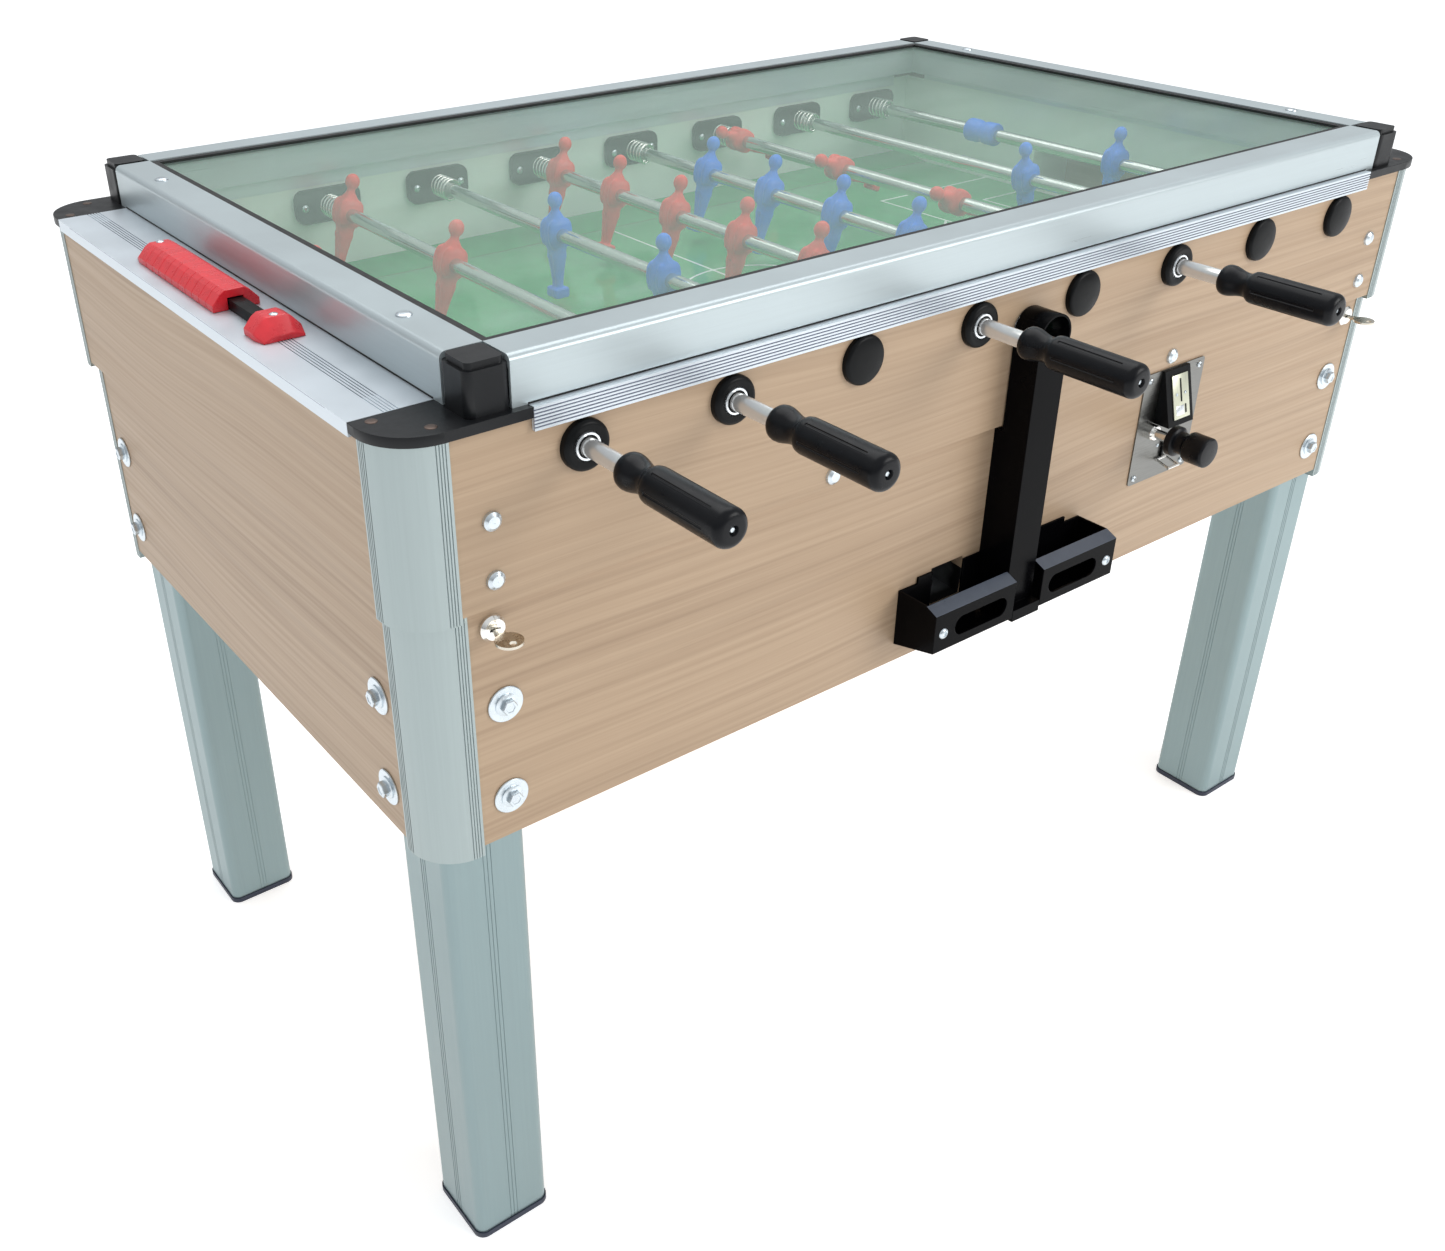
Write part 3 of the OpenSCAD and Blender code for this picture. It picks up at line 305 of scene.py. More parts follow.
def chute_finish(name, colour):
    """Zinc sheet, with painted shade darkening it towards its mouth in the cabinet front."""
    s = Shader(name)
    _, y, _ = s.split()
    wear = s.noise(s.place, 40.0, 5.0)
    # painted shade: towards the mouth the sheet turns near black, less metallic and less glossy, with a
    # noisy edge
    mouth = s.range(s.math("ADD", y, s.math("MULTIPLY", wear, 20 * MM)), CABINET_FACE + 20 * MM,
                    CABINET_FACE + 130 * MM, 1.0, 0.0)
    clean = s.blend(wear, scaled(colour, 0.9), scaled(colour, 1.1))
    s.base(s.blend(mouth, clean, (0.006, 0.006, 0.006)))
    s.put(s.bsdf.inputs["Metallic"], s.math("SUBTRACT", 1.0, mouth))
    s.put(s.bsdf.inputs["Specular IOR Level"], s.range(mouth, 0.0, 1.0, 0.5, 0.1))
    s.put(s.bsdf.inputs["Roughness"], s.range(wear, 0.3, 0.7, 0.36, 0.46))
    return s.material


def tube_finish(name, outside, inside):
    """Chromed tube: bright where the hands are; along the part inside the box a darker green-grey colour is
    painted shade and painted reflection of the pale walls.
    """
    s = Shader(name)
    _, y, _ = s.split()
    across = s.math("ABSOLUTE", s.math("SUBTRACT", y, MID_Y))
    wear = s.noise(s.stretch((1, 6, 1)), 30.0, 5.0)
    # painted shade and reflection: inside the wall the tube takes the darker green-grey colour and less
    # metallic look
    near_hand = s.range(across, WALL_FACE - 14 * MM, WALL_FACE - 2 * MM, 0.0, 1.0)
    s.base(s.blend(near_hand, s.blend(wear, scaled(inside, 0.94), scaled(inside, 1.06)),
                   s.blend(wear, scaled(outside, 0.97), scaled(outside, 1.03))))
    s.put(s.bsdf.inputs["Metallic"], s.range(near_hand, 0.0, 1.0, 0.95, 0.6))
    s.put(s.bsdf.inputs["Roughness"], s.range(wear, 0.3, 0.7, 0.14, 0.22))
    s.relief(wear, 0.006 * MM, 0.3)
    return s.material


WOOD = wood_finish("wood_foil", (0.44, 0.318, 0.212), (0.305, 0.205, 0.13))
POST = brushed_finish("post_aluminium", (0.36, 0.42, 0.42), 0.36, (260, 260, 5), 0.7, 0.04)
LEG = brushed_finish("leg_aluminium", (0.26, 0.34, 0.35), 0.38, (300, 300, 5), 0.7, 0.04)
LID = brushed_finish("lid_aluminium", (0.5, 0.57, 0.59), 0.34, (6, 6, 420), 0.45, 0.03)
# the last colour is painted shade for the floors of the rail's ribs
RIM = rim_finish("rim_aluminium", (0.66, 0.72, 0.77), (0.2, 0.22, 0.29))
PLATE_STEEL = brushed_finish("dark_brushed_steel", (0.2, 0.2, 0.19), 0.34, (40, 40, 900), 1.0, 0.16)
ZINC = solid_finish("zinc_plated_steel", (0.62, 0.68, 0.72), 0.3, 1.0, size=120.0, bump=0.03)
SHEET = brushed_finish("zinc_sheet", (0.6, 0.63, 0.66), 0.4, (12, 12, 12), 1.0, 0.1)
CHUTE = chute_finish("chute_sheet", (0.6, 0.63, 0.66))
CHROME = solid_finish("polished_chrome", (0.8, 0.79, 0.76), 0.13, 1.0, size=25.0, tint=0.03,
                      spread=0.04, bump=0.008, bump_size=90.0)
# the second colour is painted shade and painted reflection for the tube inside the box
TUBE = tube_finish("chromed_tube", (0.74, 0.735, 0.72), (0.56, 0.6, 0.57))
GROUND = solid_finish("ground_steel", (0.66, 0.68, 0.7), 0.24, 1.0, (1, 60, 1), 8.0, bump=0.01)
SATIN_BLACK = solid_finish("satin_black_plastic", (0.004, 0.0045, 0.005), 0.34, bump=0.015, bump_size=900.0,
                           Specular_IOR_Level=0.12)
GRIP_BLACK = solid_finish("grip_black_plastic", (0.004, 0.0045, 0.006), 0.3, spread=0.06, bump=0.015,
                          bump_size=1500.0, Specular_IOR_Level=0.18)
POWDER_BLACK = solid_finish("black_powder_coat", (0.0015, 0.0015, 0.002), 0.24, spread=0.04, bump=0.012,
                            bump_size=1300.0, Specular_IOR_Level=0.04)
# painted reflection: a blue-grey base colour for the sky mirrored in the tray's sloped faces
POWDER_PAINTED_REFLECTION = solid_finish("black_powder_painted_reflection", (0.075, 0.09, 0.12), 0.3, spread=0.04, bump=0.05,
                            bump_size=1300.0, Specular_IOR_Level=0.6)
COVER_BLACK = solid_finish("corner_black_plastic", (0.008, 0.009, 0.0105), 0.4, bump=0.04, bump_size=1100.0,
                           Specular_IOR_Level=0.28)
RUBBER = solid_finish("black_rubber", (0.01, 0.01, 0.011), 0.62, bump=0.05, bump_size=700.0)
FOOT = solid_finish("foot_plastic", (0.016, 0.022, 0.045), 0.5, bump=0.06, bump_size=500.0)
LINING = solid_finish("pale_lining", (0.76, 0.84, 0.78), 0.4, size=14.0, tint=0.03, bump=0.03)
FIELD = field_finish("green_field", (0.05, 0.36, 0.12), (0.85, 0.9, 0.86))
BOARD = solid_finish("raw_board", (0.3, 0.22, 0.14), 0.6, grain=(4, 40, 4), size=12.0, tint=0.12, bump=0.06)
GLASS = glass_finish("table_glass")
RED = solid_finish("red_plastic", (0.86, 0.05, 0.035), 0.42, size=90.0, bump=0.04, bump_size=700.0)
BLUE = solid_finish("blue_plastic", (0.008, 0.2, 0.88), 0.42, size=90.0, bump=0.04, bump_size=700.0)
SCORE_RED = solid_finish("score_red_plastic", (0.78, 0.022, 0.035), 0.3, size=90.0, bump=0.03,
                         Specular_IOR_Level=0.6)
SCORE_BLUE = solid_finish("score_blue_plastic", (0.02, 0.12, 0.55), 0.3, size=90.0, bump=0.03,
                          Specular_IOR_Level=0.6)
BRASS = solid_finish("nickel_key", (0.62, 0.58, 0.5), 0.28, 1.0, size=150.0, bump=0.03)
PALE_PLATE = brushed_finish("pale_slot_plate", (0.62, 0.63, 0.5), 0.36, (600, 20, 20), 0.75, 0.08)
BURNT = solid_finish("browned_screw", (0.12, 0.085, 0.07), 0.4, 0.8, size=300.0, bump=0.05)
RING = solid_finish("ring_aluminium", (0.78, 0.82, 0.85), 0.26, 0.9, size=200.0, bump=0.02)


# ---------- meshes ----------

def soften(mesh, angle=35):
    """Smooth shading with sharp edges kept."""
    work = bmesh.new()
    work.from_mesh(mesh)
    bmesh.ops.recalc_face_normals(work, faces=work.faces)
    limit = math.radians(angle)
    for edge in work.edges:
        edge.smooth = len(edge.link_faces) == 2 and edge.calc_face_angle(0) < limit
    for face in work.faces:
        face.smooth = True
    work.to_mesh(mesh)
    work.free()


def piece(name, body, material, slot, verts, faces, angle=35):
    mesh = bpy.data.meshes.new(name)
    mesh.from_pydata([tuple(v) for v in verts], [], faces)
    mesh.materials.append(material)
    soften(mesh, angle)
    return settle(bpy.data.objects.new(name, mesh), body)


def settle(obj, body):
    bpy.context.collection.objects.link(obj)
    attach(obj, body)
    return obj


def gather(parts):
    """Joins (verts, faces) pairs into one."""
    verts, faces = [], []
    for part_verts, part_faces in parts:
        start = len(verts)
        verts += part_verts
        faces += [[start + i for i in face] for face in part_faces]
    return verts, faces


def moved(part, matrix):
    verts, faces = part
    return [matrix @ Vector(v) for v in verts], faces


def turned(outline, segments=48, wobble=None):
    """A closed shape turned about +Z from [radius, height] points; wobble(angle, h) scales a radius."""
    verts, faces = [], []
    for r, h in outline:
        for i in range(segments):
            a = 2 * math.pi * i / segments
            reach = r * (wobble(a, h) if wobble else 1.0)
            verts.append(Vector((reach * math.cos(a), reach * math.sin(a), h)))
    rows = len(outline)
    for j in range(rows - 1):
        for i in range(segments):
            n = (i + 1) % segments
            here, above = j * segments, (j + 1) * segments
            faces.append([here + i, here + n, above + n, above + i])
    faces.append(list(reversed(range(segments))))
    faces.append([(rows - 1) * segments + i for i in range(segments)])
    return verts, faces


def ring_turned(outline, segments=48):
    """A ring turned about +Z from a closed [radius, height] outline."""
    verts, faces = [], []
    for r, h in outline:
        for i in range(segments):
            a = 2 * math.pi * i / segments
            verts.append(Vector((r * math.cos(a), r * math.sin(a), h)))
    rows = len(outline)
    for j in range(rows):
        m = (j + 1) % rows
        for i in range(segments):
            n = (i + 1) % segments
            faces.append([j * segments + i, j * segments + n, m * segments + n, m * segments + i])
    return verts, faces


def box_part(low_corner, high_corner, chamfer=0.0):
    """A block, with all its edges cut back by chamfer."""
    work = bmesh.new()
    bmesh.ops.create_cube(work, size=1.0)
    lo, hi = Vector(low_corner), Vector(high_corner)
    for v in work.verts:
        v.co = Vector([lo[i] if v.co[i] < 0 else hi[i] for i in range(3)])
    if chamfer:
        bmesh.ops.bevel(work, geom=list(work.edges), offset=chamfer, segments=2, profile=0.5,
                        affect="EDGES")
    work.verts.ensure_lookup_table()
    work.verts.index_update()
    verts = [v.co.copy() for v in work.verts]
    faces = [[v.index for v in f.verts] for f in work.faces]
    work.free()
    return verts, faces


def points_mm(*points):
    """Outline points given in millimetres."""
    return [(r * MM, h * MM) for r, h in points]


def arc_points(centre_r, centre_h, radius, start, end, steps=6):
    """Points of a rounded edge in a turned outline, angles in degrees from the radius axis."""
    return [(centre_r + radius * math.cos(math.radians(start + (end - start) * i / steps)),
             centre_h + radius * math.sin(math.radians(start + (end - start) * i / steps)))
            for i in range(steps + 1)]


def swept(path, radius, sides=10, closed=False):
    """A round wire along a list of points."""
    verts, faces = [], []
    count = len(path)
    up = Vector((0.13, 0.31, 0.94)).normalized()
    for i, point in enumerate(path):
        before = path[i - 1] if closed or i else path[i]
        after = path[(i + 1) % count] if closed or i < count - 1 else path[i]
        forward = (after - before).normalized()
        side = forward.cross(up).normalized()
        top = side.cross(forward).normalized()
        for j in range(sides):
            a = 2 * math.pi * j / sides
            verts.append(point + radius * (math.cos(a) * side + math.sin(a) * top))
    for i in range(count if closed else count - 1):
        n = (i + 1) % count
        for j in range(sides):
            k = (j + 1) % sides
            faces.append([i * sides + j, i * sides + k, n * sides + k, n * sides + j])
    if not closed:
        faces.append(list(reversed(range(sides))))
        faces.append([(count - 1) * sides + j for j in range(sides)])
    return verts, faces


def facing(direction):
    """Turns +Z to point along a direction, keeping the world's up where it can."""
    return Vector(direction).to_track_quat("Z", "Y").to_matrix().to_4x4()


def at(place, direction=(0, 0, 1)):
    return Matrix.Translation(Vector(place)) @ facing(direction)


def dress(name, material, bevel=0.0, angle=30):
    """Gives a CAD node its material and, where asked, slightly broken edges."""
    obj = nodes[name]
    obj.data.materials.clear()
    obj.data.materials.append(material)
    if bevel:
        weld = obj.modifiers.new("weld", "WELD")
        weld.merge_threshold = 0.001 * MM
        edge = obj.modifiers.new("bevel", "BEVEL")
        edge.width = bevel
        edge.segments = 2
        edge.limit_method = "ANGLE"
        edge.angle_limit = math.radians(angle)
    return obj


# ---------- CAD nodes that show as they are ----------

for node_name, finish, edge_width in (
        ("legs", LEG, 0.0), ("leg_feet", FOOT, 0.6 * MM), ("lower_posts", POST, 0.0),
        ("upper_posts", POST, 0.0), ("lower_panels", WOOD, 0.0), ("upper_panels", WOOD, 0.0),
        ("cabinet_floor", WOOD, 0.0), ("ball_tray", POWDER_BLACK, 0.5 * MM),
        ("ball_column", POWDER_BLACK, 0.5 * MM), ("coin_plate", PLATE_STEEL, 0.0),
        ("coin_bezel", SATIN_BLACK, 0.5 * MM), ("chrome_fittings", CHROME, 0.0), ("cash_box", SHEET, 0.0),
        ("ball_chute", CHUTE, 0.0), ("hinge_brackets", SHEET, 0.0), ("hinge_leaves", SHEET, 0.0),
        ("coin_return_loop", CHROME, 0.0), ("inner_walls", LINING, 0.0), ("playfield", FIELD, 0.0),
        ("rim_rails", RIM, 0.0), ("corner_covers", COVER_BLACK, 0.8 * MM),
        ("lid_rails", LID, 0.0), ("lid_corner_blocks", COVER_BLACK, 1.2 * MM),
        ("glass_gasket", RUBBER, 0.0), ("glass_pane", GLASS, 0.0), ("rim_screws", ZINC, 0.0),
        ("score_beads_left", SCORE_RED, 0.5 * MM), ("score_beads_right", SCORE_BLUE, 0.5 * MM)):
    dress(node_name, finish, edge_width)
for k in ROD_X:
    dress(f"core_{k}", GROUND)


def dress_some(name, material, wanted):
    """Gives the faces of a CAD node that are wanted a second material."""
    mesh = nodes[name].data
    mesh.materials.append(material)
    for face in mesh.polygons:
        if wanted(face):
            face.material_index = 1


dress_some("playfield", BOARD, lambda face: face.normal.z < -0.5)
# the tray's forward sloping faces get the painted sky reflection
dress_some("ball_tray", POWDER_PAINTED_REFLECTION, lambda face: face.normal.y < -0.3 and 0.3 < face.normal.z < 0.95)
dress_some("rim_screws", BURNT, lambda face: abs(face.center.z - RIM_Z) < 2 * MM)


# ---------- leg bolts ----------

BOLT_WASHER = 17 * MM  # radius


def leg_bolt():
    """Flanged hexagon head on a washer, along +Z from the panel."""
    washer = turned(points_mm((0, 0), (16.4, 0), (17, 0.5), (17, 1.4), (16.4, 2), (0, 2)))
    flange = turned(points_mm((0, 1.9), (10.5, 1.9), (10.5, 2.8), (7.4, 4.2), (0, 4.2)))
    head = turned(points_mm((0, 4), (7.5, 4), (7.5, 8.4), (6.7, 9.2), (4.6, 9.2), (4.2, 8.7), (0, 8.7)), 6)
    return gather([washer, flange, head])


def leg_bolt_places():
    """Places and outward directions of the bolts, two above each other beside every corner."""
    bolts = [low("leg_bolts"), high("leg_bolts")]
    panels = [low("lower_panels"), high("lower_panels")]
    for z in (bolts[0].z + BOLT_WASHER, bolts[1].z - BOLT_WASHER):
        for sx in (-1, 1):
            for sy in (-1, 1):
                face = panels[(sy + 1) // 2].y
                yield (sx * (high("lower_posts").x - 80 * MM), face, z), (0, sy, 0)
                face = panels[(sx + 1) // 2].x
                half_y = (high("lower_posts").y - low("lower_posts").y) / 2
                yield (face, MID_Y + sy * (half_y - 75 * MM), z), (sx, 0, 0)


bolt_parts = [moved(leg_bolt(), at(place, way)) for place, way in leg_bolt_places()]
bolts = piece("leg_bolt_heads", "cabinet", ZINC, "chrome_parts", *gather(bolt_parts))
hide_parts("leg_bolts")


# ---------- bushings and caps ----------

def rounded_disc(radius, height, edge, crown):
    """Outline of a cap: straight foot, rounded edge and slightly crowned face."""
    flat = radius - edge
    return ([(0, 0), (radius, 0)] + arc_points(flat, height - edge - crown, edge, 0, 80, 6)
            + [(flat * 0.6, height - crown * 0.35), (flat * 0.3, height - crown * 0.08), (0, height)])


def bushing_outer():
    return ring_turned(points_mm((13, -8), (13, 0), (22, 0))
                       + arc_points(17.5 * MM, 3.6 * MM, 4.5 * MM, 0, 90, 8)
                       + points_mm((13.4, 7.6), (12, 6.2), (9, 5.2), (9, -8)))


def bushing_ring():
    return ring_turned(points_mm((9.9, 4), (12.2, 4), (12.2, 7.2), (11.6, 8.2), (9.9, 8.2)))


def bushing_core():
    return ring_turned(points_mm((8.1, 2), (10, 2), (10, 7.6), (9.4, 8.3), (8.1, 8.3)))


blacks, rings, cores = [], [], []
for k, x in ROD_X.items():
    for wall in (-1, 1):
        stand = at((x, MID_Y + wall * WALL_FACE, ROD_Z), (0, wall, 0))
        if wall == SIDE[k]:
            blacks.append(moved(bushing_outer(), stand))
            rings.append(moved(bushing_ring(), stand))
            cores.append(moved(bushing_core(), stand))
        else:
            blacks.append(moved(turned(rounded_disc(23.5 * MM, 8 * MM, 4 * MM, 1.2 * MM)), stand))
bushings = piece("wall_bushing_covers", "play_box", SATIN_BLACK, "black_plastic", *gather(blacks))
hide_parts("wall_bushings")
piece("bushing_rings", "play_box", RING, "black_plastic", *gather(rings))
piece("bushing_sleeves", "play_box", SATIN_BLACK, "black_plastic", *gather(cores))


# ---------- bearing plates, springs ----------

def plate_part():
    """Rounded plate with softened top edges, screws apart."""
    work = bmesh.new()
    half_x, half_z, r, steps = 42 * MM, 20 * MM, 12 * MM, 8
    outline = []
    for cx, cz, start in ((half_x - r, half_z - r, 0), (-half_x + r, half_z - r, 90),
                          (-half_x + r, -half_z + r, 180), (half_x - r, -half_z + r, 270)):
        for i in range(steps + 1):
            a = math.radians(start + 90 * i / steps)
            outline.append((cx + r * math.cos(a), cz + r * math.sin(a)))
    base = [work.verts.new((x, z, 0)) for x, z in outline]
    face = work.faces.new(base)
    top = bmesh.ops.extrude_face_region(work, geom=[face])["geom"]
    for v in [g for g in top if isinstance(g, bmesh.types.BMVert)]:
        v.co.z = PLATE_DEPTH
    rim = [e for e in work.edges if all(v.co.z > PLATE_DEPTH / 2 for v in e.verts)]
    bmesh.ops.bevel(work, geom=rim, offset=1.2 * MM, segments=3, profile=0.5, affect="EDGES")
    work.verts.index_update()
    verts = [v.co.copy() for v in work.verts]
    faces = [[v.index for v in f.verts] for f in work.faces]
    work.free()
    return verts, faces


def screw_part(radius=4.6 * MM, height=2.2 * MM):
    return turned([(0, 0), (radius, 0), (radius * 0.95, height * 0.4), (radius * 0.75, height * 0.75),
                   (radius * 0.42, height * 0.95), (radius * 0.36, height * 0.6), (0, height * 0.6)], 24)


def coil_part(radius, wire, length, turns):
    steps = int(turns * 20)
    path = []
    for i in range(steps + 1):
        t = i / steps
        a = 2 * math.pi * turns * t
        ease = t if 0.1 < t < 0.9 else (0.1 + (t - 0.1) * 0.5 if t <= 0.1 else 0.9 + (t - 0.9) * 0.5)
        h = wire + (length - 2 * wire) * (ease - 0.05) / 0.9
        path.append(Vector((radius * math.cos(a), radius * math.sin(a), h)))
    return swept(path, wire, 8)


plates, screws, coils, bushes = [], [], [], []
for k, x in ROD_X.items():
    for wall in (-1, 1):
        stand = at((x, MID_Y + wall * INNER_WALL, ROD_Z), (0, -wall, 0))
        plates.append(moved(plate_part(), stand))
        for s in (-1, 1):
            place = Matrix.Translation((s * 31 * MM, 0, PLATE_DEPTH))
            screws.append(moved(screw_part(), stand @ place))
        seat = stand @ Matrix.Translation((0, 0, PLATE_DEPTH))
        coils.append(moved(coil_part(12.3 * MM, 1.6 * MM, 34 * MM, 4.7), seat))
        sleeve = ring_turned(points_mm((8.3, -1), (10.4, -1), (10.4, 11), (9.6, 12), (8.3, 12)))
        bushes.append(moved(sleeve, seat))
plate_piece = piece("bearing_plate_covers", "play_box", SATIN_BLACK, "black_plastic", *gather(plates))
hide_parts("bearing_plates")
piece("bearing_plate_screws", "play_box", ZINC, "chrome_parts", *gather(screws))
coil_piece = piece("bumper_coils", "play_box", CHROME, "chrome_parts", *gather(coils), angle=80)
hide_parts("bumper_springs")
piece("bumper_sleeves", "play_box", SATIN_BLACK, "black_plastic", *gather(bushes))


# ---------- rods and grips ----------

GRIP_LENGTH = 127 * MM
GROOVES = 6


def grip_part():
    """Black grip along +Z from its flared mouth: waist, fluted body and rounded end."""
    shoulder, body_r, end = 36 * MM, 16 * MM, GRIP_LENGTH

    def wobble(angle, h):
        along_body = shoulder + 5 * MM < h < end - 17 * MM
        phase = (angle * GROOVES / (2 * math.pi)) % 1.0
        in_groove = min(phase, 1 - phase) < 0.045
        return 1 - (0.05 if along_body and in_groove else 0.0)

    outline = points_mm((8.2, 0.8), (11, 0), (13.5, 0.8), (15, 3), (15.6, 6), (15.4, 10), (14.2, 15),
                        (12.8, 20), (12.1, 25), (12.2, 29), (13.6, 32), (15.4, 34.6))
    outline += [(body_r, h) for h in (37.5 * MM, 40.8 * MM, 41.5 * MM, 70 * MM, end - 17.4 * MM,
                                      end - 16.8 * MM)]
    outline += arc_points(body_r - 7 * MM, end - 7 * MM, 7 * MM, 0, 84, 8)
    outline += [(4.2 * MM, end), (3.4 * MM, end - 1.2 * MM), (3 * MM, end - 4 * MM), (0, end - 4 * MM)]
    return turned(outline, 144, wobble)


def mouth_of(k):
    """Where a rod's grip begins, in Y."""
    tip = high(f"rod_{k}").y if SIDE[k] > 0 else low(f"rod_{k}").y
    return tip - SIDE[k] * GRIP_LENGTH


def inner_end_of(k):
    return low(f"rod_{k}").y if SIDE[k] > 0 else high(f"rod_{k}").y


tube_r, bore_r = 8 * MM, 6.15 * MM
for k, x in ROD_X.items():
    body = f"rod_{k}_body"
    length = abs(mouth_of(k) - inner_end_of(k)) + 60 * MM
    stand = at((x, inner_end_of(k), ROD_Z), (0, SIDE[k], 0))
    tube = moved(ring_turned([(bore_r, 0), (tube_r - 0.6 * MM, 0), (tube_r, 0.6 * MM),
                              (tube_r, length), (bore_r, length)], 40), stand)
    tube_piece = piece(f"tube_{k}", body, TUBE, "rod_chrome", *tube)
    grip = moved(grip_part(), at((x, mouth_of(k), ROD_Z), (0, SIDE[k], 0)))
    piece(f"grip_{k}", body, GRIP_BLACK, "rod_chrome", *grip, angle=28)
    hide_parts(f"rod_{k}")
    screw = moved(turned(points_mm((0, 0), (2.6, 0), (2.6, 1.6), (1.8, 2.4), (0, 2.6)), 20),
                  at((x, mouth_of(k) + SIDE[k] * (GRIP_LENGTH - 4.2 * MM), ROD_Z), (0, SIDE[k], 0)))
    piece(f"grip_screw_{k}", body, ZINC, "rod_chrome", *screw)


# ---------- players ----------

def ellipse_loft(sections, power=2.4, sides=32):
    """A body through level sections (z, centre_x, centre_y, half_x, half_y), in millimetres."""
    verts, faces = [], []
    for z, cx, cy, hx, hy in sections:
        for i in range(sides):
            a = 2 * math.pi * i / sides
            c, s = math.cos(a), math.sin(a)
            x = hx * math.copysign(abs(c) ** (2 / power), c)
            y = hy * math.copysign(abs(s) ** (2 / power), s)
            verts.append(Vector((cx + x, cy + y, z)) * MM)
    for j in range(len(sections) - 1):
        for i in range(sides):
            n = (i + 1) % sides
            faces.append([j * sides + i, j * sides + n, (j + 1) * sides + n, (j + 1) * sides + i])
    faces.append(list(reversed(range(sides))))
    faces.append([(len(sections) - 1) * sides + i for i in range(sides)])
    return verts, faces


def ball_part(centre, radii):
    """An ellipsoid, in millimetres."""
    rows = [(math.sin(math.pi * t / 16), -math.cos(math.pi * t / 16)) for t in range(1, 16)]
    sections = [(centre[2] + radii[2] * h, centre[0], centre[1], radii[0] * r, radii[1] * r)
                for r, h in rows]
    return ellipse_loft(sections, 2.0)


def player_mesh():
    """A plain moulded player, its rod along Y through the origin, facing +X."""
    torso = ellipse_loft([(-24, 0, 0, 9.2, 9.8), (-18, 0, 0, 10.2, 10.6), (-12, 0, 0, 12.2, 11.8),
                          (-6, 0, 0, 13.4, 12.7), (0, 0, 0, 14.0, 13.0), (6, 0, 0, 13.4, 13.0),
                          (12, 0, 0, 11.4, 12.8), (18, 0, 0, 8.6, 11.0), (22, 0, 0, 6.4, 7.8),
                          (25, 0, 0, 4.8, 5)])
    parts = [torso, ellipse_loft([(20, 0, 0, 5, 5), (25, 0, 0, 4.6, 4.6), (31, 0, 0, 4.8, 4.8)], 2.0),
             ball_part((0, 0, 36.8), (8.6, 8.2, 9.4))]
    for side in (-1, 1):
        parts.append(ellipse_loft([(-15, 0, side * 8.2, 9.0, 2.6), (-12, 0, side * 8.2, 13.0, 4.4),
                                   (-4, 0, side * 8.2, 15.4, 5.0), (5, 0, side * 8.2, 15.8, 5.2),
                                   (12, 0, side * 8.0, 14.6, 5.0), (16, 0, side * 7.6, 11.8, 4.2),
                                   (18, 0, side * 7.2, 8.0, 2.6)]))
        parts.append(ball_part((0, side * 4.8, -25), (9.4, 5.6, 10.0)))
        parts.append(ellipse_loft([(-62, 0, side * 3.2, 4.8, 3.3), (-54, 0, side * 3.3, 5.2, 3.6),
                                   (-44, 0, side * 3.6, 6.4, 4.4), (-34, 0, side * 4.2, 7.8, 5.2),
                                   (-26, 0, side * 4.6, 8.8, 5.6), (-18, 0, side * 4.6, 9.0, 5.8)], 2.0, 24))
        parts.append(box_part((-9.6 * MM, (side * 5.2 - 5.4) * MM, -73.5 * MM),
                              (9.6 * MM, (side * 5.2 + 5.4) * MM, -61.5 * MM), 2.2 * MM))
    verts, faces = gather(parts)
    mesh = bpy.data.meshes.new("player_rough")
    mesh.from_pydata([tuple(v) for v in verts], [], faces)
    rough = bpy.data.objects.new("player_rough", mesh)
    bpy.context.collection.objects.link(rough)
    remesh = rough.modifiers.new("fuse", "REMESH")
    remesh.mode = "VOXEL"
    remesh.voxel_size = 0.9 * MM
    remesh.use_smooth_shade = True
    melt = rough.modifiers.new("melt", "SMOOTH")
    melt.factor, melt.iterations = 0.6, 7
    thin = rough.modifiers.new("thin", "DECIMATE")
    thin.ratio = 0.35
    fused = bpy.data.meshes.new_from_object(rough.evaluated_get(bpy.context.evaluated_depsgraph_get()))
    bpy.data.objects.remove(rough)
    fused.polygons.foreach_set("use_smooth", [True] * len(fused.polygons))
    return fused


def collar_part():
    """Rounded stop collar of a goalkeeper rod, along Z about its middle."""
    r, half = 15.5 * MM, 25.5 * MM
    outline = [(8 * MM, -half), (12 * MM, -half)]
    outline += arc_points(r - 3 * MM, -half + 3 * MM, 3 * MM, -80, 0, 5)
    outline += [(r, -9 * MM), (r - 0.8 * MM, -5 * MM), (r - 2.6 * MM, -1.2 * MM), (r - 2.6 * MM, 1.2 * MM),
                (r - 0.8 * MM, 5 * MM), (r, 9 * MM)]
    outline += arc_points(r - 3 * MM, half - 3 * MM, 3 * MM, 0, 80, 5) + [(12 * MM, half), (8 * MM, half)]
    return ring_turned(outline, 40)


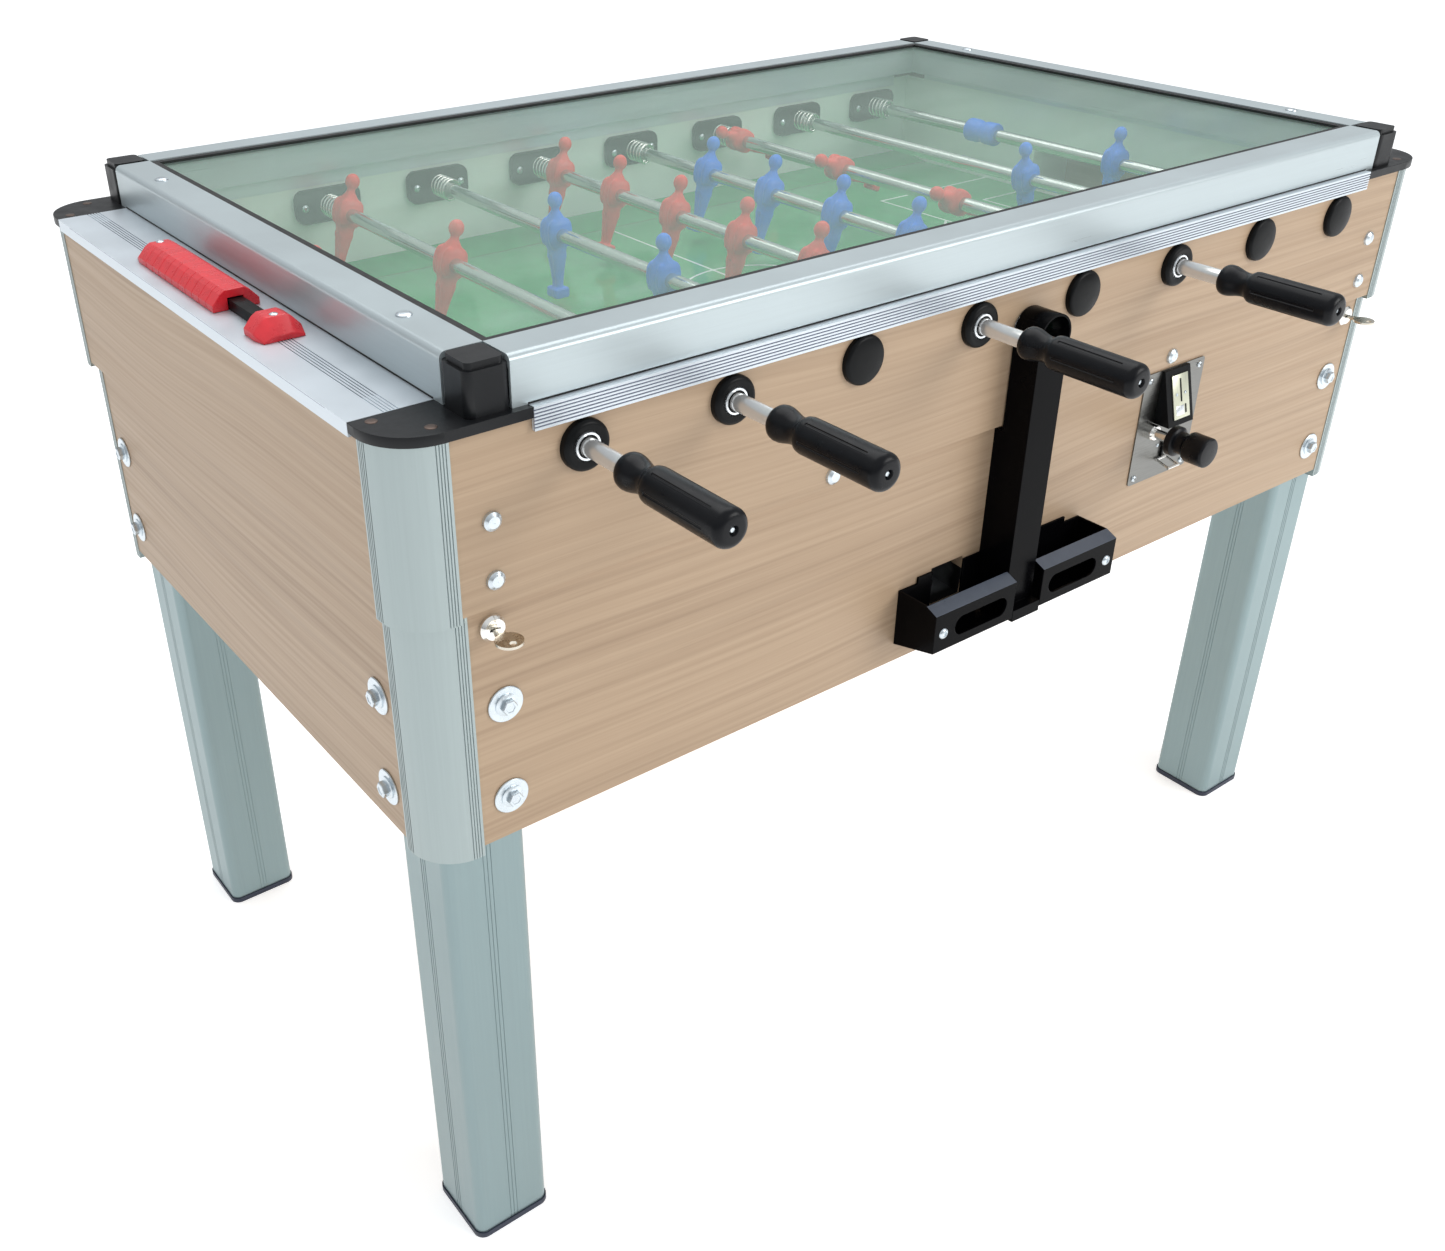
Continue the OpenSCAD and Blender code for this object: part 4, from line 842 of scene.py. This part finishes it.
# by rod, from the left; the pitch is by the number of players on a rod, and the tilt is in degrees
PLAYERS = {1: 1, 2: 2, 3: 3, 4: 5, 5: 5, 6: 3, 7: 2, 8: 1}
PITCH = {1: 0.0, 2: 240 * MM, 3: 200 * MM, 5: 120 * MM}
TILT = {1: 0, 2: 17, 3: 0, 4: 14, 5: 14, 6: -66, 7: -10, 8: 5}
COLLAR_APART = 225.5 * MM
shape = player_mesh()
team_shapes = {}
for team, finish in ((-1, RED), (1, BLUE)):
    team_shapes[team] = shape.copy()
    team_shapes[team].materials.clear()
    team_shapes[team].materials.append(finish)
for k, x in ROD_X.items():
    team = SIDE[k]
    body = f"rod_{k}_body"
    slot_name = "player_red" if team < 0 else "player_blue"
    count = PLAYERS[k]
    row_middle = middle(f"players_{k}").y
    standing = None
    for i in range(count):
        y = row_middle + (i - (count - 1) / 2) * PITCH[count]
        player = bpy.data.objects.new(f"player_{k}_{i + 1}", team_shapes[team])
        player.matrix_world = (Matrix.Translation((x, y, ROD_Z))
                               @ Matrix.Rotation(math.radians(TILT[k]), 4, "Y"))
        settle(player, body)
        standing = standing or player
    if count == 1:
        for s in (-1, 1):
            part = moved(collar_part(), at((x, row_middle + s * COLLAR_APART, ROD_Z), (0, 1, 0)))
            label = "front" if s < 0 else "rear"
            piece(f"collar_{k}_{label}", body, RED if team < 0 else BLUE, slot_name, *part)
    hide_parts(f"players_{k}")


# ---------- painted shade line under the lid ---

def shade_strip_part():
    """A thin black strip of painted shade along the foot of the lid rails, where the gap to the rim is in
    shade, on all four sides.
    """
    rails_low, rails_high = low("lid_rails"), high("lid_rails")
    proud, tall, wide, corner = 0.35 * MM, 1.6 * MM, 6 * MM, 52 * MM
    bottom, top = rails_low.z + 0.05 * MM, rails_low.z + tall
    bars = []
    for s in (-1, 1):
        face = rails_low.y - proud if s < 0 else rails_high.y + proud
        bars.append(box_part((rails_low.x + corner, min(face, face - s * wide), bottom),
                             (rails_high.x - corner, max(face, face - s * wide), top), 0.2 * MM))
        face = rails_low.x - proud if s < 0 else rails_high.x + proud
        bars.append(box_part((min(face, face - s * wide), rails_low.y + corner, bottom),
                             (max(face, face - s * wide), rails_high.y - corner, top), 0.2 * MM))
    return gather(bars)


# painted shade: a black rubber strip stands for the shaded gap between lid and rim
piece("lid_painted_shade_line", "play_box", RUBBER, "gasket_rubber", *shade_strip_part())


# ---------- score counters ----------

def score_block_part(side):
    """End block of a counter, along Y from its inner face, with a sloped outer end."""
    half, top = 22 * MM, 18 * MM
    inner, outer = 115 * MM, 149 * MM
    section = [(-half, 0), (half, 0), (half, 6 * MM), (half - 8 * MM, 15 * MM), (half - 13 * MM, top),
               (-half + 13 * MM, top), (-half + 8 * MM, 15 * MM), (-half, 6 * MM)]
    verts, faces = [], []
    for place, lift in ((inner, 1.0), (outer - 14 * MM, 1.0), (outer, 0.28)):
        for x, z in section:
            verts.append(Vector((x * (1 if lift == 1.0 else 0.86), side * place, z * lift)))
    n = len(section)
    for j in range(2):
        for i in range(n):
            m = (i + 1) % n
            faces.append([j * n + i, j * n + m, (j + 1) * n + m, (j + 1) * n + i])
    faces.append(list(range(n)))
    faces.append([2 * n + i for i in range(n)])
    return verts, faces


for end, label, finish, slot_name in ((-1, "left", SCORE_RED, "score_red"),
                                      (1, "right", SCORE_BLUE, "score_blue")):
    x = middle(f"score_beads_{label}").x
    stand = Matrix.Translation((x, MID_Y, RIM_Z))
    ends = piece(f"score_ends_{label}", "play_box", finish, slot_name,
                 *moved(gather([score_block_part(-1), score_block_part(1)]), stand))
    trim = ends.modifiers.new("bevel", "BEVEL")
    trim.width, trim.segments = 1.6 * MM, 3
    piece(f"score_bar_{label}", "play_box", SATIN_BLACK, "score_red",
          *moved(box_part((-7 * MM, -117 * MM, 0), (7 * MM, 117 * MM, 10.4 * MM), 0.8 * MM), stand))
    heads = [moved(screw_part(4 * MM, 1.6 * MM), stand @ Matrix.Translation((0, s * 131 * MM, 17.6 * MM)))
             for s in (-1, 1)]
    piece(f"score_screws_{label}", "play_box", ZINC, "chrome_parts", *gather(heads))
    if end < 0:
        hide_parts("score_frames")


# ---------- tray, column and coin mechanism ----------

FRONT = (0, -1, 0)
tray_low, tray_high = low("ball_tray"), high("ball_tray")
tray_screw_z = (tray_low.z + tray_high.z) / 2 - 1 * MM
tray_screws = [moved(screw_part(6 * MM, 3 * MM),
                     at((s * 127 * MM, tray_low.y + 0.4 * MM, tray_screw_z), FRONT)) for s in (-1, 1)]
piece("tray_screws", "cabinet", ZINC, "chrome_parts", *gather(tray_screws))

inlet_z = high("ball_column").z - 23 * MM
piece("inlet_lining", "play_box", CHROME, "chrome_parts",
      *moved(ring_turned(points_mm((20.3, -17), (20.9, -17), (20.9, 0.1), (22.5, 0.1),
                                   (22.5, 0.45), (20.3, 0.45)), 64),
             at((0, low("upper_panels").y, inlet_z), FRONT)))

plunger_low, plunger_high = low("coin_plunger"), high("coin_plunger")
plunger_axis = middle("coin_plunger")
knob_length = 48.5 * MM


def knob_part():
    """Collar, waist and rounded head of the push knob, along +Z."""
    return turned(points_mm((0, 0), (15.5, 0), (17, 1.2), (17, 8), (15.8, 9.4), (12.8, 10.4), (12.4, 12),
                            (12.4, 19), (13.4, 21), (15.8, 22.6), (17, 25))
                  + arc_points(14 * MM, 45.2 * MM, 3 * MM, 0, 85, 6)
                  + [(5 * MM, knob_length), (0, knob_length)], 64)


knob_base = (plunger_axis.x, plunger_low.y + knob_length, plunger_axis.z)
knob = piece("plunger_knob", "coin_plunger_body", GRIP_BLACK, "black_plastic",
             *moved(knob_part(), at(knob_base, FRONT)))
shaft_length = plunger_high.y - knob_base[1]
rod_part = turned([(0, -2 * MM), (5.5 * MM, -2 * MM), (5.5 * MM, shaft_length - 1 * MM),
                   (4.5 * MM, shaft_length), (0, shaft_length)], 40)
nut_part = turned(points_mm((0, 0), (7.2, 0), (7.2, 2.6), (6.6, 3.2), (0, 3.2)), 6)
piece("plunger_shaft", "coin_plunger_body", CHROME, "chrome_parts",
      *moved(gather([rod_part, nut_part]), at(knob_base, (0, 1, 0))))
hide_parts("coin_plunger")

bezel_low, bezel_high = low("coin_bezel"), high("coin_bezel")


def slot_plate_parts():
    """Pale plate on the sloping bezel face, its slot, screws and return window."""
    fall = 17 * MM  # how far the bezel's face slopes back over its height
    slope = math.atan2(fall, bezel_high.z - bezel_low.z)
    centre = middle("coin_bezel") + Vector((1.5 * MM, -1.6 * MM, 0))
    stand = Matrix.Translation(centre) @ Matrix.Rotation(-slope, 4, "X") @ facing(FRONT)
    plate = moved(box_part((-14 * MM, -25 * MM, 0), (14 * MM, 25 * MM, 1.2 * MM), 0.3 * MM), stand)
    marks = [box_part((-1.2 * MM, -6 * MM, 1.1 * MM), (1.2 * MM, 20 * MM, 1.5 * MM)),
             box_part((6 * MM, -20 * MM, 1.1 * MM), (8 * MM, -10 * MM, 1.5 * MM))]
    heads = [moved(screw_part(2 * MM, 1.2 * MM), Matrix.Translation((s * 7.5 * MM, 3 * MM, 1.1 * MM)))
             for s in (-1, 1)]
    label = box_part((-10 * MM, -21 * MM, 1.1 * MM), (4 * MM, -10.5 * MM, 1.35 * MM), 0.1 * MM)
    return plate, moved(gather(marks), stand), moved(gather(heads), stand), moved(label, stand)


slot_plate, slot_marks, slot_heads, slot_label = slot_plate_parts()
piece("coin_slot_plate", "cabinet", PALE_PLATE, "steel_plate", *slot_plate)
piece("coin_slots", "cabinet", SATIN_BLACK, "black_plastic", *slot_marks)
piece("coin_slot_screws", "cabinet", ZINC, "chrome_parts", *slot_heads)
piece("coin_slot_window", "cabinet", RING, "steel_plate", *slot_label)

plate_low, plate_high = low("coin_plate"), high("coin_plate")
plate_face = high("coin_plate").y - 1.5 * MM


def plate_rivet(x, z, radius, height):
    return moved(screw_part(radius, height), at((x, plate_face, z), FRONT))


rivets = [plate_rivet(plate_low.x + 60 * MM, plate_low.z + 66 * MM, 2.4 * MM, 1.5 * MM),
          plate_rivet(plate_low.x + 44 * MM, plate_low.z + 40 * MM, 2.2 * MM, 1.4 * MM)]
for screw_x in (plate_low.x + 9 * MM, plate_high.x - 9 * MM):
    for screw_z in (plate_low.z + 8 * MM, plate_high.z - 8 * MM):
        rivets.append(plate_rivet(screw_x, screw_z, 4 * MM, 2.4 * MM))
piece("coin_plate_rivets", "cabinet", ZINC, "chrome_parts", *gather(rivets))
loop_mid = middle("coin_return_loop")
strip = box_part((loop_mid.x - 1.5 * MM, plate_face - 3 * MM, loop_mid.z + 4 * MM),
                 (loop_mid.x + 1.5 * MM, plate_face - 0.4 * MM, loop_mid.z + 27 * MM), 0.3 * MM)
piece("coin_return_strip", "cabinet", SATIN_BLACK, "black_plastic", *strip)


# ---------- keys ----------

def key_part():
    """Round bow with a hole, pointing along +Z from the lock, flat in X."""
    outer, inner, thick, steps = 12 * MM, 3.2 * MM, 1.2 * MM, 40
    verts, faces = [], []
    for radius, centre in ((outer, 21 * MM), (inner, 27 * MM)):
        for y in (-thick, thick):
            for i in range(steps):
                a = 2 * math.pi * i / steps
                verts.append(Vector((radius * math.cos(a), y, centre + radius * math.sin(a))))
    for ring_start in (0, 2 * steps):
        for i in range(steps):
            n = (i + 1) % steps
            faces.append([ring_start + i, ring_start + n, ring_start + steps + n, ring_start + steps + i])
    for level in (0, steps):
        for i in range(steps):
            n = (i + 1) % steps
            faces.append([level + i, level + n, 2 * steps + level + n, 2 * steps + level + i])
    blade = box_part((-3.5 * MM, -1 * MM, 0.4 * MM), (3.5 * MM, 1 * MM, 11 * MM), 0.3 * MM)
    shank = box_part((-5 * MM, -1.1 * MM, 5 * MM), (5 * MM, 1.1 * MM, 12 * MM), 0.3 * MM)
    return gather([(verts, faces), blade, shank])


for label in ("left", "right"):
    lo, hi = low(f"key_{label}"), high(f"key_{label}")
    stand = at(((lo.x + hi.x) / 2, hi.y, (lo.z + hi.z) / 2), FRONT)
    key_piece = piece(f"key_bow_{label}", f"key_{label}_body", BRASS, "key_metal",
                      *moved(key_part(), stand), angle=50)
    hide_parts(f"key_{label}")


# ---------- room, light and camera ----------

def floor():
    """A wide pale floor that glows a little, so that it stays white to its edges."""
    half = 30.0
    s = Shader("studio_floor")
    s.base((0.9, 0.9, 0.9))
    s.put(s.bsdf.inputs["Roughness"], s.range(s.noise(s.place, 3.0), 0.3, 0.7, 0.75, 0.85))
    s.set(Specular_IOR_Level=0.1, Emission_Color=(1.0, 1.0, 1.0, 1.0), Emission_Strength=0.5)
    mesh = bpy.data.meshes.new("studio_floor")
    corners = [(-half, -half, 0), (half, -half, 0), (half, half, 0), (-half, half, 0)]
    mesh.from_pydata(corners, [], [(0, 1, 2, 3)])
    mesh.materials.append(s.material)
    obj = bpy.data.objects.new("studio_floor", mesh)
    bpy.context.collection.objects.link(obj)
    return obj


def sky(name, level, above):
    """A plain world, dimmer at the horizon and brighter overhead."""
    world = bpy.data.worlds.new(name)
    world.use_nodes = True
    tree = world.node_tree
    way = tree.nodes.new("ShaderNodeTexCoord")
    split = tree.nodes.new("ShaderNodeSeparateXYZ")
    tree.links.new(way.outputs["Generated"], split.inputs[0])
    fade = tree.nodes.new("ShaderNodeMapRange")
    for socket, value in zip(fade.inputs, (0.0, 0.0, 0.7, level, above)):
        socket.default_value = value
    tree.links.new(split.outputs[2], fade.inputs[0])
    shade = tree.nodes["Background"]
    shade.inputs["Color"].default_value = (0.95, 0.975, 1.0, 1.0)
    tree.links.new(fade.outputs[0], shade.inputs["Strength"])
    return world


def area_light(name, place, target, size, power, colour=(1, 1, 1)):
    data = bpy.data.lights.new(name, "AREA")
    data.shape = "RECTANGLE"
    data.size, data.size_y = size
    data.energy = power
    data.color = colour
    obj = bpy.data.objects.new(name, data)
    obj.location = place
    obj.rotation_mode = "QUATERNION"
    obj.rotation_quaternion = (Vector(target) - Vector(place)).to_track_quat("-Z", "Y")
    bpy.context.collection.objects.link(obj)
    return obj


floor()
bpy.context.scene.world = sky("studio_world", 0.34, 0.84)
TARGET = (0, 0, 0.7)
area_light("front_light", (2.2, -3.6, 2.4), TARGET, (2.4, 1.8), 74, (1.0, 0.99, 0.97))
area_light("top_light", (0.5, 0.8, 3.4), TARGET, (3.2, 2.2), 40)

camera_data = bpy.data.cameras.new("camera")
camera_data.sensor_width = 36.0
camera_data.lens = 36.26
camera_data.shift_x = 0.0549
camera_data.shift_y = -0.0157
camera = bpy.data.objects.new("camera", camera_data)
azimuth, elevation, roll = math.radians(-36.25), math.radians(30.47), math.radians(-0.40)
back = Vector((math.sin(azimuth) * math.cos(elevation), -math.cos(azimuth) * math.cos(elevation),
               math.sin(elevation)))
right = Vector((math.cos(azimuth), math.sin(azimuth), 0))
up = back.cross(right)
tilted_right = right * math.cos(roll) + up * math.sin(roll)
tilted_up = up * math.cos(roll) - right * math.sin(roll)
turn = Matrix((tilted_right, tilted_up, back)).transposed()
camera_place = (-1.1069, -1.2624 + MID_Y, 1.3566)
camera.matrix_world = Matrix.Translation(camera_place) @ turn.to_4x4()
bpy.context.collection.objects.link(camera)
bpy.context.scene.camera = camera
bpy.context.scene.view_settings.view_transform = "Standard"
